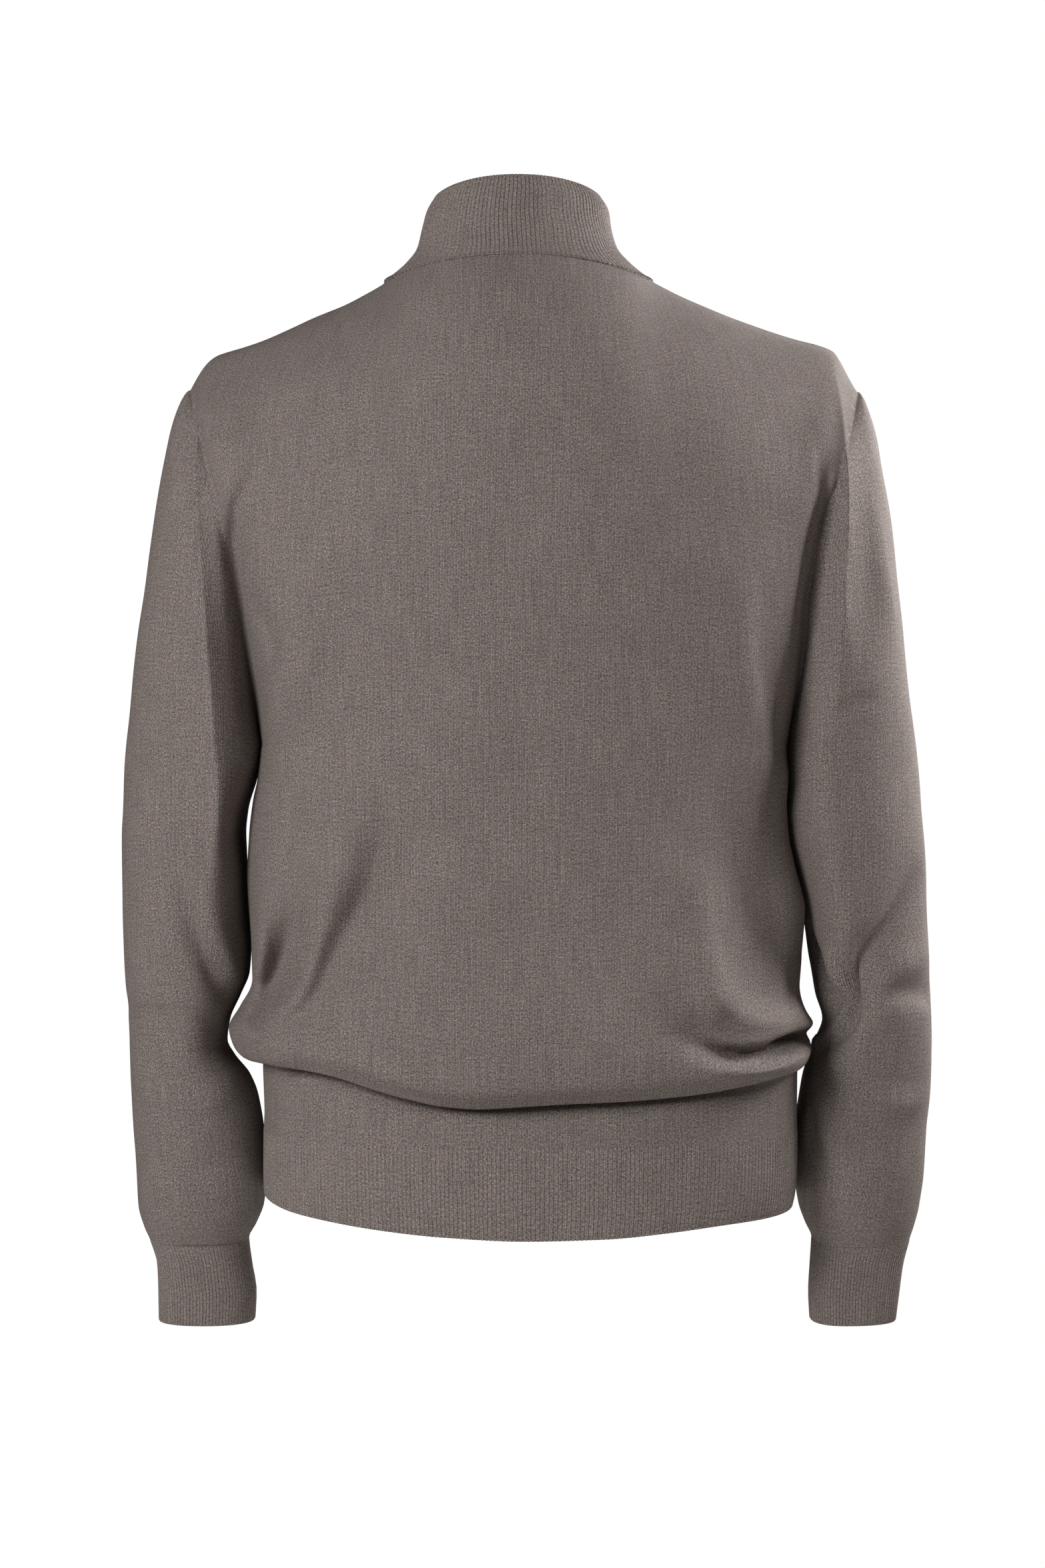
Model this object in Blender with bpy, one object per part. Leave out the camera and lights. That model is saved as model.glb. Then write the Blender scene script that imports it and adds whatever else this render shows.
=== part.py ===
"""Mock neck sweater in its worn form: knitted panels round an empty hollow.

The front faces -Y and the wearer's left arm is on +X. The origin is the middle of the neck opening, at
the height where the collar seam crosses the shoulder line. Tables are in millimetres. Each panel is a
grid of points on the cloth's outer face, worked out from its sections. Panels that are sewn together
share the points of their seam, and are then drawn back from it to leave a small gap.
"""

import math

import bmesh
import bpy
import numpy as np

MM = 0.001

# Cloth: fine-gauge jersey, a heavier rib at hem and cuffs, and a collar of rib folded double.
JERSEY_WALL = 1.5
RIB_WALL = 2.0
COLLAR_WALL = 3.0
SEAM_GAP = 0.3

# How finely each panel is cut into facets.
SHOULDER_COLUMNS = 7
NECK_COLUMNS = 10
SLEEVE_COLUMNS = 16
HEM_ROWS = 2

# Heights that several pieces share, and the line of the shoulder seams front to back.
UNDERARM_Z = -320
ARMHOLE_TOP_Z = -79
HEM_SEAM_Z = -577
CUFF_SEAM_Z = -658
CUFF_EDGE_Z = -713
SHOULDER_Y = -5


def table(names, *rows):
    """A short table as {column name: array}, with a row for each section."""
    return dict(zip(names.split(), np.array(rows, float).T))


# The body as a plain tube, from the hem's edge up to the underarm: how far it reaches to each side.
BODY = table(
    "z     left  right back front",
    (-645, 171, -176, 115, -115),
    (-615, 174, -182, 119, -118),
    (-577, 175, -183, 120, -119),
    (-540, 174, -183, 121, -120),
    (-500, 178, -182, 121, -122),
    (-460, 183, -186, 118, -122),
    (-430, 185, -184.5, 116.5, -122),
    (-400, 186, -177, 116, -122),
    (-380, 185.5, -172.5, 116, -122),
    (-360, 183, -170.5, 116.5, -122),
    (-340, 178.5, -172.5, 117, -122),
    (-320, 176, -176, 118, -122),
)
BODY_SQUARENESS = 2.5

# The slack body hangs over the hem in a lip. Its height and its overhang go with the place across.
LIP_BACK = table(
    "across z overhang",
    (-182, -531, 10),
    (-170, -534, 14),
    (-130, -541, 20),
    (-79, -546.5, 23),
    (-30, -549.5, 25),
    (23, -551.5, 26),
    (50, -550, 26),
    (70, -546.5, 25),
    (92, -541, 24),
    (118, -534, 23),
    (144, -530, 22),
    (172, -528, 21),
)
LIP_FRONT = table(
    "across z overhang",
    (-182, -531, 10),
    (-130, -543, 19),
    (-50, -554, 23),
    (40, -556, 24),
    (110, -546, 22),
    (172, -528, 21),
)
# The cloth's path through the lip, from the tuck under it to the flat cloth above it: the height over
# the lip and the share of the overhang, at the sides and at the middle.
LIP_PATH = table(
    "side_up side_out middle_up middle_out",
    (6, 0.00, 3, 0.00),
    (12, 0.12, 10, 0.12),
    (6, 0.32, 5, 0.32),
    (0, 0.58, 0, 0.56),
    (7, 0.90, 9, 0.90),
    (18, 1.00, 24, 1.00),
    (32, 0.58, 45, 0.84),
    (52, 0.06, 78, 0.50),
    (82, 0.00, 118, 0.16),
    (112, 0.00, 165, 0.00),
)
ROWS_TO_UNDERARM = 3

# Hem rib: how high its lower edge is across the body.
HEM_EDGE = table(
    "across z",
    (-176, -628),
    (-140, -629),
    (-95, -632),
    (-50, -635),
    (0, -636),
    (53, -634),
    (93, -630.5),
    (135, -626),
    (155, -623.5),
    (172, -620),
)

# The shoulder line from the collar seam to the top of the armhole, on the left and on the right.
SHOULDER = table(
    "z    left right",
    (-8, 95, 87),
    (-15, 107, 101),
    (-24, 123, 123),
    (-33, 145, 145),
    (-46.5, 176, 184),
    (-51, 189, 200),
    (-55.5, 203, 210),
    (-60, 214, 214),
    (-69, 221, 219),
    (-79, 226, 225),
)

# From the underarm up to the shoulder line: share of the height, of the depth left on the back and on
# the front, and of the widening.
YOKE = table(
    "height back front widening",
    (0.00, 1.00, 1.00, 0.00),
    (0.14, 1.02, 1.01, 0.05),
    (0.28, 1.055, 1.02, 0.13),
    (0.42, 1.08, 1.01, 0.25),
    (0.55, 1.07, 0.95, 0.38),
    (0.67, 1.005, 0.85, 0.53),
    (0.77, 0.88, 0.70, 0.67),
    (0.86, 0.69, 0.52, 0.80),
    (0.93, 0.45, 0.34, 0.90),
    (0.975, 0.23, 0.18, 0.96),
    (1.00, 0.00, 0.00, 1.00),
)
# How far in from the armhole its own line pulls the panel, as a share of the panel's width.
ARMHOLE_PULL = 0.38

# The armhole seam, from the underarm to the top of the sleeve, on the back and on the front.
ARMHOLE = table(
    "z back_x back_y front_x front_y",
    (-320, 176, 0, 176, 0),
    (-291, 180.5, 27, 177, -31),
    (-261, 184.5, 46, 179, -51),
    (-241, 187, 54, 180, -59),
    (-217, 190, 60, 183, -64),
    (-192, 194, 62, 187, -65),
    (-167, 199, 59, 194, -62),
    (-140, 207, 53, 203, -57),
    (-113, 215, 41, 212, -47),
    (-95, 220, 27, 218, -34),
    (-85, 224, 12, 223, -20),
    (-79, 225.5, -5, 225.5, -5),
)

# The sleeves: their reach outwards and inwards on each side, where their back and front ridges
# run, how far those stand back and forward, and the line of the arm's middle.
SLEEVE = table(
    "z    out_l in_l  out_r in_r  ridge back front middle",
    (-713, 250.5, 185, 254.5, 196, 217, -3, -62, -31),
    (-695, 250.5, 184, 256.5, 195, 217, 1, -61, -29),
    (-675, 251, 187, 259, 196, 219, 4, -61, -28),
    (-658, 256, 189, 263.5, 197, 221, 8, -66, -28),
    (-648, 260, 184, 266.5, 193, 222, 15, -74, -28),
    (-634, 263.5, 178.5, 270, 188.5, 222, 21, -79, -27),
    (-612, 264.5, 176.5, 272.5, 185.5, 222, 26, -79, -24),
    (-580, 265.5, 178, 273, 184.3, 222, 31, -76, -20),
    (-560, 266.3, 181, 274.5, 187, 222.5, 35, -74.5, -17.5),
    (-545, 267, 187, 275.5, 189.5, 223, 38, -73, -15),
    (-533, 267.5, 197, 276, 193.5, 224, 41, -71.5, -13),
    (-522, 268, 203, 276, 198, 225, 43, -70, -11),
    (-507, 268.5, 201, 275.5, 203, 225, 46.5, -69, -10),
    (-490, 269, 193.5, 274.5, 198.5, 224, 50, -68, -9),
    (-475, 269.5, 187, 273.5, 196, 222, 52, -67.5, -8),
    (-460, 270, 185.8, 273, 193, 219, 54, -67, -7),
    (-430, 271, 188, 272, 188.5, 213, 57, -67, -6),
    (-400, 271.5, 189, 270.5, 180.5, 207, 59, -68, -6),
    (-380, 271.5, 190, 269, 176, 204, 61, -69, -6),
    (-365, 271, 188, 267.5, 175, 202, 62, -70, -6),
    (-345, 270.5, 181.5, 266, 177, 201, 63, -72, -6),
    (-320, 269, 176, 264, 176, 203, 65, -75, -6),
    (-286, 265, 176, 259.5, 176, 206, 67, -78, -6),
    (-252, 261, 176, 255.5, 176, 209, 68, -80, -6),
    (-219, 256.5, 176, 252, 176, 212, 68, -80, -6),
    (-187, 251, 176, 248, 176, 215, 67, -77, -6),
    (-158, 247, 176, 244, 176, 218, 63, -71, -5),
    (-134, 243, 176, 240, 176, 220, 56, -63, -5),
    (-113, 238.5, 176, 236.5, 176, 223, 44, -53, -5),
    (-96, 234, 176, 232, 176, 225, 30, -39, -5),
    (-85, 229.5, 176, 228.5, 176, 226, 13, -22, -5),
    (-79, 225.5, 176, 225.5, 176, 225.5, -5, -5, -5),
)
SLEEVE_SQUARENESS = 2.2
SLEEVE_ROWS = (
    -342, -365, -398, -440, -475, -490, -507, -522, -533, -545, -560, -580, -612, -634, -648,
    CUFF_SEAM_Z,
)
CUFF_ROWS = (-676, -695, CUFF_EDGE_Z)

# The collar from its seam up to its rim: the reach and the height at each side, and how far the ring
# dips between its side and its back or front.
COLLAR = table(
    "left right back front z_side z_back z_front dip",
    (95, -87, 77, -80, -8, -4, -38, 3),
    (80.3, -71.7, 72, -76, 4, 6, -26, 2),
    (72.6, -62.8, 67, -72, 14, 17, -14, 1),
    (69, -58.5, 62, -68, 28, 30, 1, 0),
    (66, -57, 57, -64, 39, 42, 14, 0),
    (61, -52, 54, -61, 47.5, 52, 25, 0),
)
COLLAR_SQUARENESS = 2.1

# The largest folds: the path across and up, how deep and how wide each is, and the panels it is on.
FOLDS = (
    {
        "on": ("back", "sleeve_left"),
        "path": ((178, -130), (191, -165), (190, -205), (184, -250), (178, -290)),
        "depth": 12,
        "width": 10,
    },
    {
        "on": ("back", "sleeve_right"),
        "path": ((-186, -120), (-191, -155), (-187, -200), (-182, -250), (-176, -290)),
        "depth": 12,
        "width": 10,
    },
    {
        "on": ("back",),
        "path": ((112, -400), (122, -440), (140, -480), (158, -505)),
        "depth": 10,
        "width": 14,
    },
    {
        "on": ("back",),
        "path": ((-150, -440), (-146, -480), (-140, -512)),
        "depth": 8,
        "width": 12,
    },
)


def smooth(xs, ys, at):
    """A curve through the points that never swings past them, held level beyond both ends."""
    xs, ys, at = np.asarray(xs, float), np.asarray(ys, float), np.asarray(at, float)
    step = np.diff(xs)
    rise = np.diff(ys) / step
    slope = np.zeros(len(xs))
    same_way = rise[:-1] * rise[1:] > 0
    before, after = rise[:-1][same_way], rise[1:][same_way]
    slope[1:-1][same_way] = 2 * before * after / (before + after)
    slope[0], slope[-1] = rise[0], rise[-1]
    at = np.clip(at, xs[0], xs[-1])
    i = np.clip(np.searchsorted(xs, at, side="right") - 1, 0, len(xs) - 2)
    t = (at - xs[i]) / step[i]
    from_ends = ys[i] * (1 + 2 * t) * (1 - t) ** 2 + ys[i + 1] * t**2 * (3 - 2 * t)
    from_slopes = step[i] * (slope[i] * t * (1 - t) ** 2 - slope[i + 1] * t**2 * (1 - t))
    return from_ends + from_slopes


def read(source, column, key, at):
    """One column of a table, read smoothly at a value of its key column, which rises."""
    return smooth(source[key], source[column], at)


def blend_in(low, high, at):
    """0 at low, 1 at high, and a soft step between them."""
    t = np.clip((np.asarray(at, float) - low) / (high - low), 0, 1)
    return t * t * (3 - 2 * t)


def unit(vector):
    """The vector at length one."""
    return vector / np.linalg.norm(vector)


def quarter_angles(squareness, wide, deep, shares):
    """The angles at even steps of length along a quarter of a rounded oblong, side to middle."""
    angle = np.linspace(0, math.pi / 2, 400)
    x = wide * np.cos(angle) ** (2 / squareness)
    y = deep * np.sin(angle) ** (2 / squareness)
    along = np.concatenate([[0], np.cumsum(np.hypot(np.diff(x), np.diff(y)))])
    return np.interp(shares, along / along[-1], angle)


def half_ring(shares, squareness, typical, left, right, side_y, end_y):
    """Half a ring in plan, from the left side round to the right side, and which way is out.

    shares run from 0 at the left side through 0.5 at the middle to 1 at the right side.
    """
    from_side = 1 - np.abs(2 * shares - 1)
    angle = quarter_angles(squareness, *typical, from_side)
    reach = np.where(shares < 0.5, left, right)
    across = np.clip(np.cos(angle), 0, 1) ** (2 / squareness)
    deep = np.clip(np.sin(angle), 0, 1) ** (2 / squareness)
    out_x = across ** (squareness - 1) / reach
    out_y = deep ** (squareness - 1) / (end_y - side_y)
    length = np.hypot(out_x, out_y)
    return reach * across, side_y + (end_y - side_y) * deep, out_x / length, out_y / length


def body_plan(shares, z, facing):
    """The plain body tube in plan at the heights z, on the back or the front."""
    left, right, end = (read(BODY, name, "z", z) for name in ("left", "right", facing))
    return half_ring(shares, BODY_SQUARENESS, (180, 120), left, right, 0.0, end)


def sideness(x):
    """0 across the middle of a panel and 1 at its sides."""
    return blend_in(95, 172, np.abs(x))


def panel_shares():
    """Where a body panel's columns stand across it, from the left side to the right one."""
    return np.linspace(0, 1, 2 * SHOULDER_COLUMNS + NECK_COLUMNS + 1)


def lower_rows(shares, facing):
    """A body panel's rows from the hem seam through the lip to the underarm."""
    lip = LIP_BACK if facing == "back" else LIP_FRONT
    level = np.full(len(shares), float(HEM_SEAM_Z))
    x, y, _, _ = body_plan(shares, level, facing)
    seam = np.stack([x, y, level], 1)
    lip_z = read(lip, "z", "across", x)
    side = sideness(x)
    path = []
    for k in range(len(LIP_PATH["side_up"])):
        up = LIP_PATH["middle_up"][k] * (1 - side) + LIP_PATH["side_up"][k] * side
        share = LIP_PATH["middle_out"][k] * (1 - side) + LIP_PATH["side_out"][k] * side
        z = lip_z + up
        x, y, out_x, out_y = body_plan(shares, z, facing)
        out = share * read(lip, "overhang", "across", x)
        path.append(np.stack([x + out_x * out, y + out_y * out, z], 1))
    rows = [seam, (seam + path[0]) / 2, *path]
    top = path[-1][:, 2]
    for k in range(1, ROWS_TO_UNDERARM + 1):
        z = top + (UNDERARM_Z - top) * k / ROWS_TO_UNDERARM
        x, y, _, _ = body_plan(shares, z, facing)
        rows.append(np.stack([x, y, z], 1))
    return rows


def collar_ring(level, shares, facing):
    """One ring of the collar, on the back or the front, as points."""
    row = {name: COLLAR[name][level] for name in COLLAR}
    middle = (row["left"] + row["right"]) / 2
    reach = (row["left"] - row["right"]) / 2
    end = row[facing]
    x, y, _, _ = half_ring(shares, COLLAR_SQUARENESS, (90, 80), reach, -reach, SHOULDER_Y, end)
    toward_end = np.clip((y - SHOULDER_Y) / (end - SHOULDER_Y), 0, 1)
    z = row["z_side"] + (row["z_" + facing] - row["z_side"]) * toward_end**2
    z -= row["dip"] * np.sin(math.pi * toward_end)
    return np.stack([x + middle, y, z], 1)


def shoulder_line(side):
    """The shoulder seam from the top of the armhole in to the collar seam, evenly spaced."""
    across = SHOULDER["left"] if side > 0 else -SHOULDER["right"]
    along = np.concatenate([[0], np.cumsum(np.hypot(np.diff(across), np.diff(SHOULDER["z"])))])
    at = np.linspace(along[-1], 0, SHOULDER_COLUMNS + 1)
    x, z = smooth(along, across, at), smooth(along, SHOULDER["z"], at)
    x[0], z[0] = side * ARMHOLE["back_x"][-1], ARMHOLE_TOP_Z
    return np.stack([x, np.full(len(at), float(SHOULDER_Y)), z], 1)


def top_row(facing):
    """The top edge of a body panel: one shoulder seam, its half of the neck, the other shoulder."""
    neck = collar_ring(0, np.linspace(0, 1, NECK_COLUMNS + 1), facing)
    return np.concatenate([shoulder_line(1)[:-1], neck, shoulder_line(-1)[::-1][1:]])


def armhole_point(facing, z, side):
    """A point of the armhole seam."""
    x = read(ARMHOLE, facing + "_x", "z", z)
    return np.array([side * x, read(ARMHOLE, facing + "_y", "z", z), z])


def armhole_heights():
    """The armhole's heights at a panel's upper rows."""
    return UNDERARM_Z + (ARMHOLE_TOP_Z - UNDERARM_Z) * YOKE["height"]


def upper_rows(bottom, facing):
    """A body panel's rows above the underarm, up to the shoulder seams and the neck.

    Every column follows the same profile. A column that ends at the neck leaves it early, where the
    profile is as deep as the neck seam.
    """
    top = top_row(facing)
    steps = np.linspace(0, 1, len(YOKE["height"]))
    profile = {name: lambda at, name=name: smooth(steps, YOKE[name], at) for name in YOKE}
    falling = np.linspace(1, 0.5, 200)
    depth_at_top = (top[:, 1] - SHOULDER_Y) / (bottom[:, 1] - SHOULDER_Y)
    end = np.interp(depth_at_top, profile[facing](falling), falling)
    near_left = np.clip(1 - panel_shares() / ARMHOLE_PULL, 0, 1)[:, None] ** 2
    near_right = near_left[::-1]
    rows = []
    for step, armhole_z in list(zip(steps, armhole_heights()))[1:]:
        at = end * step
        sideways = (profile["widening"](at) / profile["widening"](end))[:, None]
        upwards = (profile["height"](at) / profile["height"](end))[:, None]
        row = bottom + (top - bottom) * np.hstack([sideways, sideways, upwards])
        row[:, 1] = SHOULDER_Y + (bottom[:, 1] - SHOULDER_Y) * profile[facing](at)
        left = armhole_point(facing, armhole_z, 1) - row[0]
        right = armhole_point(facing, armhole_z, -1) - row[-1]
        rows.append(row + near_left * left + near_right * right)
    rows[-1] = top
    return rows


def body_panel(facing):
    """Back or front as a grid of points: rows from the hem seam up, columns from left to right."""
    rows = lower_rows(panel_shares(), facing)
    return np.array(rows + upper_rows(rows[-1], facing))


def hem_panel(facing):
    """The hem rib under a body panel, from its seam down to its edge."""
    shares = panel_shares()
    seam = np.full(len(shares), float(HEM_SEAM_Z))
    x, _, _, _ = body_plan(shares, seam, facing)
    edge = read(HEM_EDGE, "z", "across", x)
    rows = []
    for k in range(HEM_ROWS + 1):
        z = seam + (edge - seam) * k / HEM_ROWS
        x, y, _, _ = body_plan(shares, z, facing)
        rows.append(np.stack([x, y, z], 1))
    return np.array(rows)


def arc(start, end, shares):
    """A quarter turn in plan that leaves start along Y and reaches end along X."""
    angle = shares * math.pi / 2
    across = 1 - np.clip(np.cos(angle), 0, 1) ** (2 / SLEEVE_SQUARENESS)
    deep = np.sin(angle) ** (2 / SLEEVE_SQUARENESS)
    x = start[0] + (end[0] - start[0]) * across
    y = start[1] + (end[1] - start[1]) * deep
    return np.stack([x, y], 1)


def sleeve_ring(z, side):
    """A sleeve's row at a height: from its inner line round the back, outside and front to it again."""
    hand = "_l" if side > 0 else "_r"
    names = ("out" + hand, "in" + hand, "ridge", "back", "front", "middle")
    out, inner, ridge, back, front, middle = (read(SLEEVE, name, "z", z) for name in names)
    if z >= UNDERARM_Z:
        first = armhole_point("back", z, 1)[:2]
        last = armhole_point("front", z, 1)[:2]
    else:
        settle = blend_in(UNDERARM_Z, UNDERARM_Z - 60, z)
        first = last = [inner, middle * settle]
    t = np.linspace(0, 1, SLEEVE_COLUMNS // 4 + 1)
    quarters = [
        arc(first, (ridge, back), t),
        arc((out, middle), (ridge, back), t)[::-1],
        arc((out, middle), (ridge, front), t),
        arc(last, (ridge, front), t)[::-1],
    ]
    plan = np.concatenate([quarters[0], *[quarter[1:] for quarter in quarters[1:]]])
    return np.column_stack([side * plan[:, 0], plan[:, 1], np.full(len(plan), float(z))])


def sleeve_panel(side):
    """A sleeve as rows from the armhole's top down to the cuff seam."""
    heights = list(armhole_heights()[::-1]) + list(SLEEVE_ROWS)
    return np.array([sleeve_ring(z, side) for z in heights])


def cuff_panel(side):
    """The cuff rib, from its seam down to its edge."""
    return np.array([sleeve_ring(z, side) for z in (CUFF_SEAM_Z, *CUFF_ROWS)])


def collar_panel():
    """The collar as closed rings from its seam up to its rim."""
    shares = np.linspace(0, 1, NECK_COLUMNS + 1)
    rings = []
    for level in range(len(COLLAR["left"])):
        back = collar_ring(level, shares, "back")
        front = collar_ring(level, shares, "front")[::-1]
        rings.append(np.concatenate([back, front[1:]]))
    return np.array(rings)


def path_reach(points, path):
    """How far each point is from a path seen from behind, and how far along the path it is, 0 to 1."""
    path = np.array(path, float)
    spans = np.linalg.norm(np.diff(path, axis=0), axis=1)
    starts = np.concatenate([[0], np.cumsum(spans)])
    best = np.full(len(points), np.inf)
    along = np.zeros(len(points))
    for a, b, start, span in zip(path[:-1], path[1:], starts, spans):
        t = np.clip((points - a) @ (b - a) / span**2, 0, 1)
        away = np.linalg.norm(points - a - t[:, None] * (b - a), axis=1)
        nearer = away < best
        best[nearer] = away[nearer]
        along[nearer] = (start + t * span)[nearer] / starts[-1]
    return best, along


def press_folds(name, grid):
    """Presses the largest folds into a panel's back."""
    flat = grid.reshape(-1, 3).copy()
    for fold in FOLDS:
        if name not in fold["on"]:
            continue
        away, along = path_reach(flat[:, [0, 2]], fold["path"])
        fade = np.sin(math.pi * np.clip(0.08 + 0.84 * along, 0, 1))
        facing = blend_in(5, 40, flat[:, 1])
        flat[:, 1] -= fold["depth"] * np.exp(-((away / fold["width"]) ** 2)) * fade * facing
    return flat.reshape(grid.shape)


def quads(grid):
    """A grid's points and its faces, with points that meet made one."""
    rows, columns, _ = grid.shape
    points, index = np.unique(np.round(grid.reshape(-1, 3), 4), axis=0, return_inverse=True)
    index = index.reshape(rows, columns)
    faces = []
    for r in range(rows - 1):
        for c in range(columns - 1):
            corners = [index[r, c], index[r, c + 1], index[r + 1, c + 1], index[r + 1, c]]
            face = [int(v) for k, v in enumerate(corners) if v != corners[k - 1]]
            if len(face) > 2:
                faces.append(face)
    return points, faces


def face_normal(points, face):
    """A face's normal, as long as the face is large."""
    corners = points[face]
    return np.cross(corners[2] - corners[0], corners[-1] - corners[1])


def edge_key(points, v, w):
    """A name for an edge by its place, the same on both panels of a seam."""
    return frozenset((tuple(np.round(points[v], 3)), tuple(np.round(points[w], 3))))


def border(points, faces):
    """A panel's outer edges as (from, to, the way into the panel)."""
    uses = {}
    for face in faces:
        for k, v in enumerate(face):
            w = face[(k + 1) % len(face)]
            uses.setdefault(frozenset((v, w)), []).append((v, w, face))
    edges = []
    for found in uses.values():
        if len(found) == 1:
            v, w, face = found[0]
            inward = np.cross(face_normal(points, face), points[w] - points[v])
            edges.append((v, w, unit(inward)))
    return edges


def seams(panels):
    """Every border edge by its place, with the panels on it and their ways in."""
    found = {}
    for name, (points, faces) in panels.items():
        for v, w, inward in border(points, faces):
            found.setdefault(edge_key(points, v, w), {})[name] = inward
    return found


def seam_planes(name, points, edges, found):
    """For each point on a seam, the directions away from the planes that part it from its neighbours."""
    planes = {}
    for v, w, inward in edges:
        others = [way for other, way in found[edge_key(points, v, w)].items() if other != name]
        if others:
            away = unit(inward - others[0])
            planes.setdefault(v, []).append(away)
            planes.setdefault(w, []).append(away)
    return planes


def add_cloth(name, points, faces, found, wall, material):
    """A closed solid: the panel's outer face, the same face moved in by the wall, and its edges."""
    normals = np.zeros(points.shape)
    for face in faces:
        normals[face] += face_normal(points, face)
    normals /= np.linalg.norm(normals, axis=1)[:, None]
    edges = border(points, faces)
    outer = points.copy()
    inner_way = normals.copy()
    for v, planes in seam_planes(name, points, edges, found).items():
        gap = np.full(len(planes), SEAM_GAP / 2)
        outer[v] += np.linalg.lstsq(np.array(planes), gap, rcond=0.2)[0]
        for away in planes:
            inner_way[v] -= max(0, inner_way[v] @ away) * away
        inner_way[v] = unit(inner_way[v])
        inner_way[v] /= max(0.6, inner_way[v] @ normals[v])
    inner = outer - inner_way * wall
    count = len(points)
    solid = [list(face) for face in faces]
    solid += [[v + count for v in reversed(face)] for face in faces]
    solid += [[w, v, v + count, w + count] for v, w, _ in edges]
    mesh = bpy.data.meshes.new(name)
    mesh.from_pydata((np.concatenate([outer, inner]) * MM).tolist(), [], solid)
    work = bmesh.new()
    work.from_mesh(mesh)
    bmesh.ops.recalc_face_normals(work, faces=work.faces)
    work.to_mesh(mesh)
    work.free()
    mesh.shade_smooth()
    mesh.set_sharp_from_angle(angle=math.radians(50))
    mesh.materials.append(material)
    part = bpy.data.objects.new(name, mesh)
    bpy.context.scene.collection.objects.link(part)
    return part


def make_material(name, colour, roughness):
    """A knitted wool finish."""
    material = bpy.data.materials.new(name)
    material.use_nodes = True
    shader = material.node_tree.nodes["Principled BSDF"]
    shader.inputs["Base Color"].default_value = (*colour, 1)
    shader.inputs["Roughness"].default_value = roughness
    shader.inputs["Metallic"].default_value = 0.0
    return material


def clear_scene():
    """Removes what the file opens with."""
    for old in list(bpy.data.objects):
        bpy.data.objects.remove(old, do_unlink=True)


def main():
    clear_scene()
    jersey = make_material("wool_jersey", (0.165, 0.140, 0.130), 0.92)
    rib = make_material("wool_rib", (0.155, 0.130, 0.121), 0.94)
    # Each piece: its grid, its wall, its material, and which way round its faces run.
    pieces = {
        "back": (body_panel("back"), JERSEY_WALL, jersey, 1),
        "front": (body_panel("front"), JERSEY_WALL, jersey, -1),
        "hem_back": (hem_panel("back"), RIB_WALL, rib, -1),
        "hem_front": (hem_panel("front"), RIB_WALL, rib, 1),
        "sleeve_left": (sleeve_panel(1), JERSEY_WALL, jersey, 1),
        "sleeve_right": (sleeve_panel(-1), JERSEY_WALL, jersey, -1),
        "cuff_left": (cuff_panel(1), RIB_WALL, rib, 1),
        "cuff_right": (cuff_panel(-1), RIB_WALL, rib, -1),
        "collar": (collar_panel(), COLLAR_WALL, rib, 1),
    }
    panels = {}
    for name, (grid, _, _, turn) in pieces.items():
        points, faces = quads(press_folds(name, grid))
        panels[name] = (points, [face[::turn] for face in faces])
    found = seams(panels)
    for name, (_, wall, material, _) in pieces.items():
        add_cloth(name, *panels[name], found, wall, material)


main()
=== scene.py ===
# %% [markdown]
# # A mock neck sweater in fine wool
#
# This notebook dresses the plain CAD frame of a sweater: fine jersey for the body and sleeves, and real
# ribs at the collar, hem and cuffs. The sweater keeps the form it has when it is worn, with nobody in it.
#
# The frame is loaded first. Its box is kept, so that the finished model can be compared with it.

import math

import bpy
import numpy as np
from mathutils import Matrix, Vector
from mathutils.kdtree import KDTree


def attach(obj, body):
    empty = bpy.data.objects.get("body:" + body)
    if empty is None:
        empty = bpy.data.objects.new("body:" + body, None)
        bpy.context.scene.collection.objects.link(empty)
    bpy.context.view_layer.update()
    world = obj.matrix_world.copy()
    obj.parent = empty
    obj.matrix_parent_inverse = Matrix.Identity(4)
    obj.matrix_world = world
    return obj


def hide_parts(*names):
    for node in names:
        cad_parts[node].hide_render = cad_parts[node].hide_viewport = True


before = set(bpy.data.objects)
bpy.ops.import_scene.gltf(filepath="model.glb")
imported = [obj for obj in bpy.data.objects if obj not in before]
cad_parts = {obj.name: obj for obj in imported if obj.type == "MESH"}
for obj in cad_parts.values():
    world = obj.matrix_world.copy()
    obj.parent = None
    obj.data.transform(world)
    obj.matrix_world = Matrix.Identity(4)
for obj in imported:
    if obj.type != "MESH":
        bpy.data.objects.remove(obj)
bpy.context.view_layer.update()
bpy.ops.object.select_all(action="DESELECT")
print("nodes:", ", ".join(sorted(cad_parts)))

# %% [markdown]
# ## The sections of the garment
#
# A worn garment has no single profile to sweep, so its form is kept as short tables of sections: how far
# the cloth reaches to each side at each height. These are the frame's own tables, in millimetres. The
# cloth here is worked out from them far more finely, so it lies on the same form.

# %% Heights and the plain body tube
MM = 0.001
# Heights of the seams, and how far back the shoulder seams run, in millimetres.
UNDERARM_Z = -320
ARMHOLE_TOP_Z = -79
HEM_SEAM_Z = -577
CUFF_SEAM_Z = -658
CUFF_EDGE_Z = -713
SHOULDER_Y = -5


def table(names, *rows):
    """A short table as {column name: array}, with a row for each section."""
    return dict(zip(names.split(), np.array(rows, float).T))


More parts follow.
